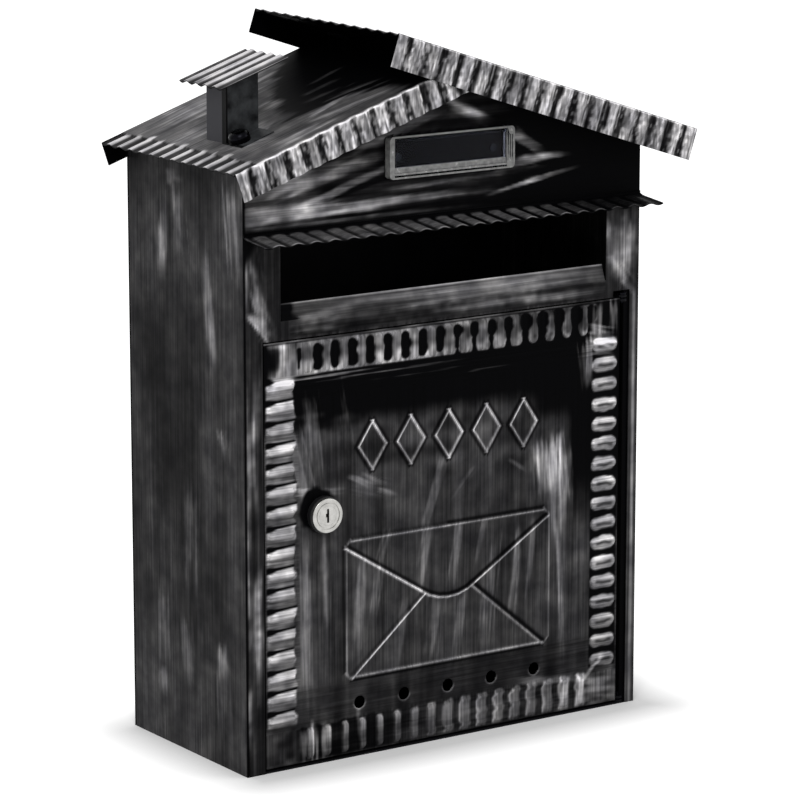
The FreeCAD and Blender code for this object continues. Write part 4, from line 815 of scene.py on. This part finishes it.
left, right = PATTERN_X - ENVELOPE_HALF, PATTERN_X + ENVELOPE_HALF
cut, bottom, top = ENVELOPE_CORNER, ENVELOPE_LOW, ENVELOPE_HIGH
corners = [(left + cut, top), (left, top - cut), (left, bottom + cut), (left + cut, bottom),
           (right - cut, bottom), (right, bottom + cut), (right, top - cut), (right - cut, top)]
top_left, left_top, left_low, low_left, low_right, right_low, right_top, top_right = corners
radius = (TIP_HALF ** 2 + TIP_RISE ** 2) / (2 * TIP_RISE)
turn = math.asin(TIP_HALF / radius)
tip = [(PATTERN_X + radius * math.sin(a), TIP_Z + radius * (1 - math.cos(a)))
       for a in np.linspace(-turn, turn, 7)]
# Each pressed line: its two ends, the silver on its crest and how dark the painted shadow
# beside it is. The crest's silver lies right of a line, seen from its start, part brushed paint
# and part painted highlight, and the painted shadow lies on its left.
seam = (PATTERN_X - TIP_HALF + RIDGE_R, SEAM_Z), (PATTERN_X + TIP_HALF - RIDGE_R, SEAM_Z)
LINES = [(top_left, (PATTERN_X, top), 0.44, 0.3), ((PATTERN_X, top), top_right, 0.34, 0.8),
         (right_low, right_top, 0.32, 0.0), (low_right, low_left, 0.34, 0.8),
         (left_low, left_top, 0.28, 0.4), (left_top, tip[0], 0.72, 0.8), (tip[-1], right_top, 0.66, 0.8),
         (low_left, seam[0], 0.72, 0.3), (seam[1], low_right, 0.34, 1.0)]
LINES += [(a, b, 0.66, 0.9) for a, b in chain(tip)]
LINES += [(corners[k], corners[k + 1], 0.24, 0.0) for k in (0, 2, 4, 6)]
for k in range(LOZENGES):
    x0 = PATTERN_X + (k - (LOZENGES - 1) / 2) * LOZENGE_PITCH
    tips = [(x0, LOZENGE_Z + LOZENGE_H / 2), (x0 + LOZENGE_W / 2, LOZENGE_Z),
            (x0, LOZENGE_Z - LOZENGE_H / 2), (x0 - LOZENGE_W / 2, LOZENGE_Z)]
    tips.append(tips[0])
    LINES += [(a, b, crest, 0.7) for (a, b), crest in zip(chain(tips), (0.74, 0.42, 0.48, 0.70))]

x, z = lattice(spread([door_left, door_right], DOOR_STEP), spread([door_low, door_high], DOOR_STEP))
rise, crests, shade = np.zeros_like(x), np.zeros_like(x), np.zeros_like(x)
for number, (start, end, crest, bare) in enumerate(LINES):
    distance, part, beside = to_line(x, z, start, end)
    ball = RIDGE_R ** 2 - distance ** 2
    height = np.sqrt(np.maximum(ball, 0)) - (RIDGE_R - RIDGE_H)
    rise = np.maximum(rise, np.maximum(height, 0) * smooth(height, -0.05, 0.25))
    patchy = 0.66 + 0.60 * grain(part * math.dist(start, end), distance, 18, 3, 200 + number)
    over = np.where(distance > np.abs(beside) + 0.3, 9.0, beside)
    crests = np.maximum(crests, crest * patchy * np.exp(-((over - 0.6) / 0.75) ** 2))
    shade = np.maximum(shade, bare * np.exp(-((over + 1.4) / (1.1 + 0.5 * (bare > 0.9))) ** 2))
distance, _, _ = to_line(x, z, (door_left + 3.6, STEP_Z), (door_right - 22.0, STEP_Z))
rise = np.maximum(rise, STEP_H * smooth(-distance, -STEP_R, 0))

band_top = door_high - BEAD_INSET
band_low = door_low + BEAD_INSET
band_left, band_right = door_left + BEAD_INSET, door_right - BEAD_INSET
inside = {}
for edge, u, v, middle in (("top", x, z - band_top, PATTERN_X), ("low", x, z - band_low, PATTERN_X),
                           ("left", z, x - band_left, PATTERN_Z), ("right", z, x - band_right, PATTERN_Z)):
    number = np.clip(np.round((u - middle) / FLUTE_PITCH), -(BEADS_PER_SIDE // 2), BEADS_PER_SIDE // 2)
    local = u - middle - number * FLUTE_PITCH
    deep = pill(local, v, BEAD_L, BEAD_W)
    rise = np.maximum(rise, BEAD_H * smooth(deep, 0.0, BEAD_WALL) ** 0.8)
    inside[edge] = (local, v, deep)

# Middle of the door: upright hairs, nearly black above the lozenges and at the upper right.
down_hair, wide_hair = grain(z, x, 90, 2.6, 222), grain(z, x, 150, 8.0, 223)
noise, blotch = grain(x, z, 5, 4, 224), grain(x, z, 26, 8, 225)
field = smooth(z + 10 * smooth(-x, 40, 90) * (0.3 - noise), 202, 218)
silver = 0.155 + 0.06 * down_hair + 0.11 * wide_hair
silver *= 1 - 0.92 * field
cloud = np.exp(-((x + 8) / 84) ** 4 - ((z - 190) / 24) ** 4)
silver += cloud * (0.18 * blotch - 0.09)
silver *= 1 - 0.85 * smooth(x, 90, 98) * smooth(z, 110, 165)
silver *= 1 - 0.75 * smooth(x, 52, 76) * smooth(z, 186, 202)
silver *= 0.86 + 0.28 * grain(z, x, 26, 14, 231)
DOOR_MARKS = [
    (76, 184, 82, 134, 30, 0.22), (82, 184, 84, 100, 14, 0.20), (83, 150, 88, 24, 6, 0.20),
    (70, 184, 75, 146, 14, 0.16), (92, 178, 92, 116, 9, 0.14), (84, 188, 84, 150, 12, 0.14),
    (-100, 236, -92, 164, 16, 0.16), (-78, 240, -66, 176, 9, 0.14), (-114, 216, -98, 152, 16, 0.14),
    (-116, 172, -68, 166, 6, 0.20), (-74, 177, -50, 164, 5, 0.18), (-104, 148, -100, 14, 14, 0.16),
    (-90, 152, -88, 36, 8, 0.13), (-60, 134, -68, 46, 9, 0.11), (-48, 124, -56, 74, 8, 0.11),
    (38, 136, 28, 36, 12, 0.12), (56, 136, 46, 50, 8, 0.20), (-30, 98, -38, 38, 10, 0.09),
    (-6, 98, -14, 40, 14, 0.11), (14, 96, 6, 38, 9, 0.10), (67, 138, 60, 66, 8, 0.14),
    (-10, 146, -22, 84, 12, 0.13), (10, 142, 0, 88, 9, 0.11), (-42, 142, -52, 108, 8, 0.11),
    (0, 184, -20, 126, 10, 0.11), (24, 172, 0, 146, 6, 0.08), (44, 172, 66, 158, 4, 0.14),
    (30, 140, 22, 100, 8, 0.09), (102, 244, 106, 198, 10, 0.24), (-66, 178, -40, 165, 4, 0.14),
    (-52, 166, -34, 158, 5, 0.14), (-72, 172, -38, 162, 14, 0.08)]
under = smooth(2 * noise - z, -50, -43)
silver *= 1 - 0.26 * under
silver += strokes(x, z, DOOR_MARKS, 230, 1.35)
LEVEL_MARKS = [
    (-128, 241.0, 30, 243.0, 2.2, 0.34), (-128, 238.6, -30, 240.0, 1.8, 0.34),
    (-100, 235.8, 70, 237.6, 1.6, 0.26), (-70, 232.0, 60, 234.0, 1.6, 0.18),
    (10, 229.0, 60, 230.0, 1.6, 0.12)]
silver += strokes(x, z, LEVEL_MARKS, 260, 0.9)
# Painted shadow darkens the silver beside each line, and the crests' silver, part painted highlight, goes
# over it.
silver = silver * (1 - 0.8 * shade) + crests

# Top row: a silver patch on each bead. On the left it is a plain bar; further right it is
# shaped like a keyhole, narrow above and round below. Towards its lower end each patch is
# lighter: painted reflection of the pale floor in the bead's rounded end.
local, v, _ = inside["top"]
row = smooth(-np.abs(v), -0.5 * BEAD_L - 1.0, -0.5 * BEAD_L + 0.6)
row = row * smooth(x, door_left + 1, door_left + 5) * smooth(-x, -door_right + 16, -door_right + 20)
gap_local = np.abs(np.abs(local) - 0.5 * FLUTE_PITCH) + 1.5 * (noise - 0.5)
keyhole, stem = smooth(x, -20, 12), smooth(x, 40, 72)
narrow = 2.4 * (1 - smooth(x, -112, -88))
half_gap = 3.6 - narrow - 2.3 * keyhole * smooth(-v, -3.5, 3.0) + 1.3 * stem * smooth(v, -3.0, -1.0)
gap = smooth(half_gap - np.hypot(gap_local, np.maximum(np.abs(v) - 5.2, 0)), -0.3, 0.9)
bulb = np.hypot(local, 0.8 * np.minimum(v + 5.4, 0)) - 4.9 + 1.5 * stem + 1.6 * (noise - 0.5)
gap = np.maximum(gap, keyhole * smooth(bulb, -0.4, 0.8) * smooth(-v, -0.5, 1.5))
lower_end_reflection = smooth(-v, -1.5, 7.0)
lit = 0.40 + 0.16 * lower_end_reflection + 0.30 * (noise - 0.5) + 0.12 * (1 - keyhole) - 0.08 * stem
lit *= 0.70 + 0.48 * grain(z, x, 9, 1.5, 226)
lit *= 1 - 0.45 * stem * np.exp(-(np.hypot(local, v + 5.2) / 1.3) ** 2)
first = 1 - smooth(x, -122, -96)
lit = lit * (1 - 0.34 * first) + 0.14 * first * noise
top_row = lit * (1 - 0.97 * gap * (1 - 0.35 * first))
silver = silver * (1 - row) + row * top_row
bare = np.exp(-((x + 125.5) / 4.5) ** 4 - ((z - 252) / 8) ** 4)
silver *= 1 - 0.85 * bare
silver += 0.40 * smooth(z, door_high - 1.4, door_high - 0.4) * (0.5 + 0.8 * grain(x, z, 12, 9, 229))

# Left column: each bead is bright in its upper half and grey in its lower one, and black
# wedges that widen to the left part them.
local, v, _ = inside["left"]
reach = 0.5 * FLUTE_PITCH * BEADS_PER_SIDE
column = smooth(3.4 * (noise - 0.6) * smooth(v, 0, 6) - np.abs(v), -0.5 * BEAD_L - 1.2, -0.5 * BEAD_L + 0.4)
column *= smooth(-np.abs(z - PATTERN_Z), -reach + 1.0, -reach + 3.0)
slant = local - 0.06 * v
streak = grain(x, z, 22, 1.1, 227)
wedge = smooth(-v, 1.0, 9.5)
bright = smooth(slant, -1.6, 0.4) * (slant < 5.0)
parting = np.abs((slant - 5.0 + 0.5 * FLUTE_PITCH) % FLUTE_PITCH - 0.5 * FLUTE_PITCH)
parting = 1 - smooth(parting, 0.2 + 1.0 * wedge, 1.2 + 1.4 * wedge)
beads = bright * (0.70 + 0.16 * streak) + (1 - bright) * (0.30 + 0.26 * streak)
beads *= 1 - 0.95 * parting
beads = beads + 0.12 * smooth(z, 205, 232) * (1 - parting) - 0.12 * smooth(-z, -60, -20) * bright
silver = silver * (1 - column) + column * beads * (0.84 + 0.28 * noise)

# Right column: a ragged silver bar on each bead, darker along its middle.
local, v, _ = inside["right"]
column = smooth(-np.abs(v), -0.5 * BEAD_L - 1.0, -0.5 * BEAD_L + 0.3)
column *= smooth(-np.abs(z - PATTERN_Z), -reach + 1.0, -reach + 3.0)
ragged = local + 1.6 * (noise - 0.5)
body = smooth(pill(ragged, v, BEAD_L + 1.0, 9.8), -0.3, 1.4)
core = np.exp(-((ragged + 0.2) / 1.1) ** 2) * smooth(-np.abs(v), -7.4, -4.6)
beads = body * (0.43 + 0.20 * smooth(local, 0.2, 1.6) + 0.22 * streak) * (1 - 0.62 * core) + 0.06
beads *= 1 - 0.26 * smooth(-z, -110, -10)
silver = silver * (1 - column) + column * beads

# Bottom row: thin grey all over and a dull bar on each bead, with a bright left edge
# towards the right.
local, v, deep = inside["low"]
row = smooth(3.0 * (noise - 0.4) * smooth(v, 0, 6) - np.abs(v), -0.5 * BEAD_L - 1.4, -0.5 * BEAD_L + 0.4)
row = row * smooth(x, door_left + 20, door_left + 26) * smooth(-x, -door_right + 18, -door_right + 24)
rightward = smooth(x, -50, 20)
wavy = local + 2.6 * rightward * (grain(z, x, 3.2, 40, 228) - 0.5) + 0.8 * (noise - 0.5)
half_bead = 2.0 + 1.8 * rightward
body = smooth(half_bead - np.abs(wavy), -1.4, 1.0) * smooth(deep + 2.0 * rightward, -1.2, 0.6)
left_edge = np.exp(-((wavy + half_bead - 0.8) / 0.9) ** 2) * smooth(x, -20, 20)
beads = body * ((0.16 + 0.26 * smooth(v, -2.0, 8.5)) * (1 - rightward) + rightward * (0.16 + 0.10 * noise))
beads = beads + 0.24 * left_edge * body + 0.12 + 0.12 * blotch + 0.10 * (streak - 0.5)
beads *= 1 - 0.5 * smooth(-x, 20, 60) * (1 - body)
silver = silver * (1 - row) + row * beads
CORNER_MARKS = [
    (-96, 30, -97, -6, 6, 0.34), (-90, 30, -90, -6, 4, 0.32), (-105, 26, -104, -6, 5, 0.20),
    (-64, 40, -64, 4, 4, 0.16), (50, 26, 134, 19, 7, 0.18), (124, 38, 100, 12, 6, 0.34),
    (104, 26, 101, -2, 6, 0.26), (92, 26, 90, -2, 7, 0.26), (100, 16, 136, 12, 20, 0.16),
    (-116, 264, -112, 236, 9, 0.16), (-118, 264, -119, 238, 5, 0.22), (-128, 239, -104, 239, 6, 0.52),
    (-132, 259, -108, 260, 4, 0.26), (115, 264, 114, 232, 9, 0.24), (126, 266, 126, 232, 7, 0.30),
    (104, 246, 132, 240, 12, 0.36), (107, 246, 109, 204, 7, 0.36), (108, 242, 132, 234, 9, 0.36),
    (106, 232, 132, 226, 7, 0.26)]
corner = smooth(-x, 108, 114) * smooth(-z, -30, -24)
far_corner = smooth(x, 106, 116) * smooth(-z, -27, -20) * smooth(-x, -134, -130)
silver = silver * (1 - 0.4 * corner) + 0.16 * corner * noise + 0.22 * far_corner * grain(x, z, 7, 3, 232)
silver += strokes(x, z, CORNER_MARKS, 290, 1.7)

# Silver gathers at the lower edge of each view hole. Bare black surrounds the lock, reaching
# further up and to the left, where it is also the lock's painted shadow.
view_x = PATTERN_X + np.clip(np.round((x - PATTERN_X) / HOLE_PITCH), -(HOLES // 2), HOLES // 2) * HOLE_PITCH
view_far = np.hypot(x - view_x, z - HOLE_Z)
lock_far = np.hypot(x - LOCK_X, z - LOCK_Z)
silver += 0.24 * smooth(-view_far, -HOLE_R - 1.2, -HOLE_R - 0.2) * smooth(HOLE_Z - z, -2.0, 2.5)
# Black around the lock, centred up and to its left: bare lacquer and the lock's painted shadow.
bare = np.hypot(x - LOCK_X + 4.5, z - LOCK_Z - 4.0)
silver *= smooth(bare + 2.5 * noise, 12, 16)
# The hairs lie level in the side columns, at the top and just over the bottom row, and stand
# upright in the middle and in the beads of both rows.
level = np.maximum(smooth(z, 225, 228), under * smooth(z, band_low + 11, band_low + 13))
side_band = band_right - PATTERN_X
level = np.maximum(level, smooth(np.abs(x - PATTERN_X), side_band - 11, side_band - 9))
level = level * (np.abs(z - band_top) > 0.5 * BEAD_L) * (np.abs(z - band_low) > 0.5 * BEAD_L)
# Points near a hole's edge are pulled onto it, so that the holes are round.
PULL = 0.62 * DOOR_STEP
for far, size, centre_x, centre_z in ((view_far, HOLE_R, view_x, HOLE_Z),
                                      (lock_far, LOCK_HOLE_R, LOCK_X, LOCK_Z)):
    pull = np.where(np.abs(far - size) < PULL, size / np.maximum(far, 0.1), 1.0)
    x, z = centre_x + (x - centre_x) * pull, centre_z + (z - centre_z) * pull
keep = (middles(view_far) > HOLE_R) & (middles(lock_far) > LOCK_HOLE_R)
patches = [(grid_of(x, door_y - rise, z), silver, keep, level)]
across, up, back = x[:, 0], z[0, :], spread([0, DOOR_FOLD], 2.0)
y, z = lattice(door_y + back, up)
patches.append((grid_of(door_right, y, z), 0.05, None, 0.0))
patches.append((grid_of(door_left, y[::-1], z[::-1]), 0.05, None, 0.0))
x, y = lattice(across, door_y + back)
patches.append((grid_of(x, y, door_high), 0.15, None, 1.0))
patches.append((grid_of(x, y[:, ::-1], door_low), 0.05, None, 1.0))

piece = sheet("door_panel_sheet", patches, INNER_SKIN_SHEEN)
piece.data.materials.append(brushed_upright)
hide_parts("door_panel")
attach(piece, "door")

# ---- cam lock -----------------------------------------------------------------------
# Die-cast zinc cam lock, nickel plated and turned bright on its face, on a black collar.
# A nut clamps it in the door; the plug turns a steel cam behind the front's left fold.

# Nickel plate over a turned face is a warm bright grey, and its rings around the lock's
# axis catch the light. They are 0.7 mm apart, drawn coarser than the real 0.2 mm.
RING_MM, NICKEL_CLOUD_MM = 0.7, 3.0


def turned_nickel(name, dark, light):
    """Nickel plate with rings around the lock's axis in its relief, and clouds in its gloss."""
    material, tree, place = new_material(name)
    centre = [LOCK_X / 1000, 0, base_z + LOCK_Z / 1000]
    offset = add_node(tree, "VectorMath", {0: place, 1: centre}, operation="SUBTRACT")
    flat = add_node(tree, "VectorMath", {0: offset, 1: (1, 0, 1)}, operation="MULTIPLY")
    far = add_node(tree, "VectorMath", {0: flat}, operation="LENGTH").outputs["Value"]
    turns = add_node(tree, "Math", {0: far, 1: 1000 * 2 * math.pi / RING_MM}, operation="MULTIPLY")
    ring = add_node(tree, "Math", {0: turns}, operation="SINE")
    cloud = add_node(tree, "TexNoise", {"Vector": place, "Scale": 1000 / NICKEL_CLOUD_MM, "Detail": 2.0})
    colour = add_node(tree, "MixRGB", {"Fac": cloud, "Color1": dark, "Color2": light})
    rough = add_node(tree, "MapRange", {"Value": cloud, "To Min": 0.26, "To Max": 0.4})
    bump = add_node(tree, "Bump", {"Height": ring, "Strength": 0.12, "Distance": 0.0001})
    shader = add_node(tree, "BsdfPrincipled", {"Base Color": colour, "Metallic": 1.0, "Roughness": rough,
                                               "Normal": bump})
    add_node(tree, "OutputMaterial", {"Surface": shader})
    return material


nickel = turned_nickel("Nickel plate, turned", "8e8d8a", "bdbcb9")
for node in ("lock_body", "lock_plug"):
    dress(node, nickel)
dress("lock_collar", black_nylon)
for node in ("lock_nut", "lock_cam", "cam_washer", "cam_screw"):
    dress(node, zinc_steel)

# ---- stage --------------------------------------------------------------------------
# White studio paper on the floor and a plain white surround, with two large soft lamps.
# The paper keeps the soft shadow where the box stands and is white everywhere else. Near the
# base its glow fades to nothing, which darkens the paper as painted shadow.
FLOOR_REACH = 30.0
FOOTPRINT = (0.145, 0.066, 0)   # half the base's width and depth
GLOW_FROM_BOX = 0.055           # the paper is white from this far beside the base; nearer, its glow fades as painted shadow
floor_corners = [(x * FLOOR_REACH, y * FLOOR_REACH, base_z) for x, y in ((-1, -1), (1, -1), (1, 1), (-1, 1))]
floor_mesh = bpy.data.meshes.new("studio_floor")
floor_mesh.from_pydata(floor_corners, [], [(0, 1, 2, 3)])
floor = add_object("studio_floor", floor_mesh)


def seen_ray(tree):
    """1 for rays from the camera and for reflected or refracted ones, 0 for rays that light the scene."""
    path = add_node(tree, "LightPath").outputs
    seen = add_node(tree, "Math", {0: path["Is Camera Ray"], 1: path["Is Glossy Ray"]}, operation="MAXIMUM")
    return add_node(tree, "Math", {0: seen, 1: path["Is Transmission Ray"]}, operation="MAXIMUM")


paper, tree, place = new_material("White studio paper")
middle = [0.5 * (cad_box[0][k] + cad_box[1][k]) for k in (0, 1)] + [base_z]
from_middle = add_node(tree, "VectorMath", {0: place, 1: middle}, operation="SUBTRACT")
aside = add_node(tree, "VectorMath", {0: from_middle}, operation="ABSOLUTE")
outside = add_node(tree, "VectorMath", {0: aside, 1: FOOTPRINT}, operation="SUBTRACT")
beyond = add_node(tree, "VectorMath", {0: outside, 1: (0, 0, 0)}, operation="MAXIMUM")
far = add_node(tree, "VectorMath", {0: beyond}, operation="LENGTH").outputs["Value"]
# No glow at the base, full glow from GLOW_FROM_BOX beside it: painted contact shadow.
lift = add_node(tree, "MapRange", {"Value": far, "From Min": 0.0, "From Max": GLOW_FROM_BOX,
                                   "To Min": 0.0, "To Max": 0.75})
strength = add_node(tree, "Math", {0: seen_ray(tree), 1: lift}, operation="MULTIPLY")
glow = add_node(tree, "Emission", {"Color": "ffffff", "Strength": strength})
matt = add_node(tree, "BsdfDiffuse", {"Color": "f2f2f2"})
both = add_node(tree, "AddShader", {0: matt, 1: glow})
add_node(tree, "OutputMaterial", {"Surface": both})
floor_mesh.materials.append(paper)

world = bpy.data.worlds.new("studio")
bpy.context.scene.world = world
world.use_nodes = True
tree = world.node_tree
tree.nodes.clear()
strength = add_node(tree, "MapRange", {"Value": seen_ray(tree), "To Min": 0.55, "To Max": 1.0})
sky = add_node(tree, "Background", {"Color": "ffffff", "Strength": strength})
add_node(tree, "OutputWorld", {"Surface": sky})


def soft_box(name, place, aim, size, power):
    """Large square studio lamp."""
    lamp = bpy.data.lights.new(name, "AREA")
    lamp.shape = "SQUARE"
    lamp.size = size
    lamp.energy = power
    holder = add_object(name, lamp)
    holder.location = place
    holder.rotation_euler = (Vector(aim) - Vector(place)).to_track_quat("-Z", "Y").to_euler()


LAMP_AIM = (0.0, -0.07, 0.04)
soft_box("soft_box_key", (-1.2, -1.8, 1.9), LAMP_AIM, 1.2, 28)
soft_box("soft_box_fill", (1.8, -1.6, 0.9), LAMP_AIM, 1.4, 12)

LOOK_DOWN, LOOK_ASIDE = 12.1238, -34.2167
camera = bpy.data.cameras.new("camera")
camera.sensor_width = 36.0
camera.lens = 177.841
eye = add_object("camera", camera)
eye.location = (-1.34190, -2.05427, 0.53716)
eye.rotation_euler = (math.radians(90 - LOOK_DOWN), 0, math.radians(LOOK_ASIDE))
bpy.context.scene.camera = eye
bpy.context.scene.view_settings.view_transform = "Standard"
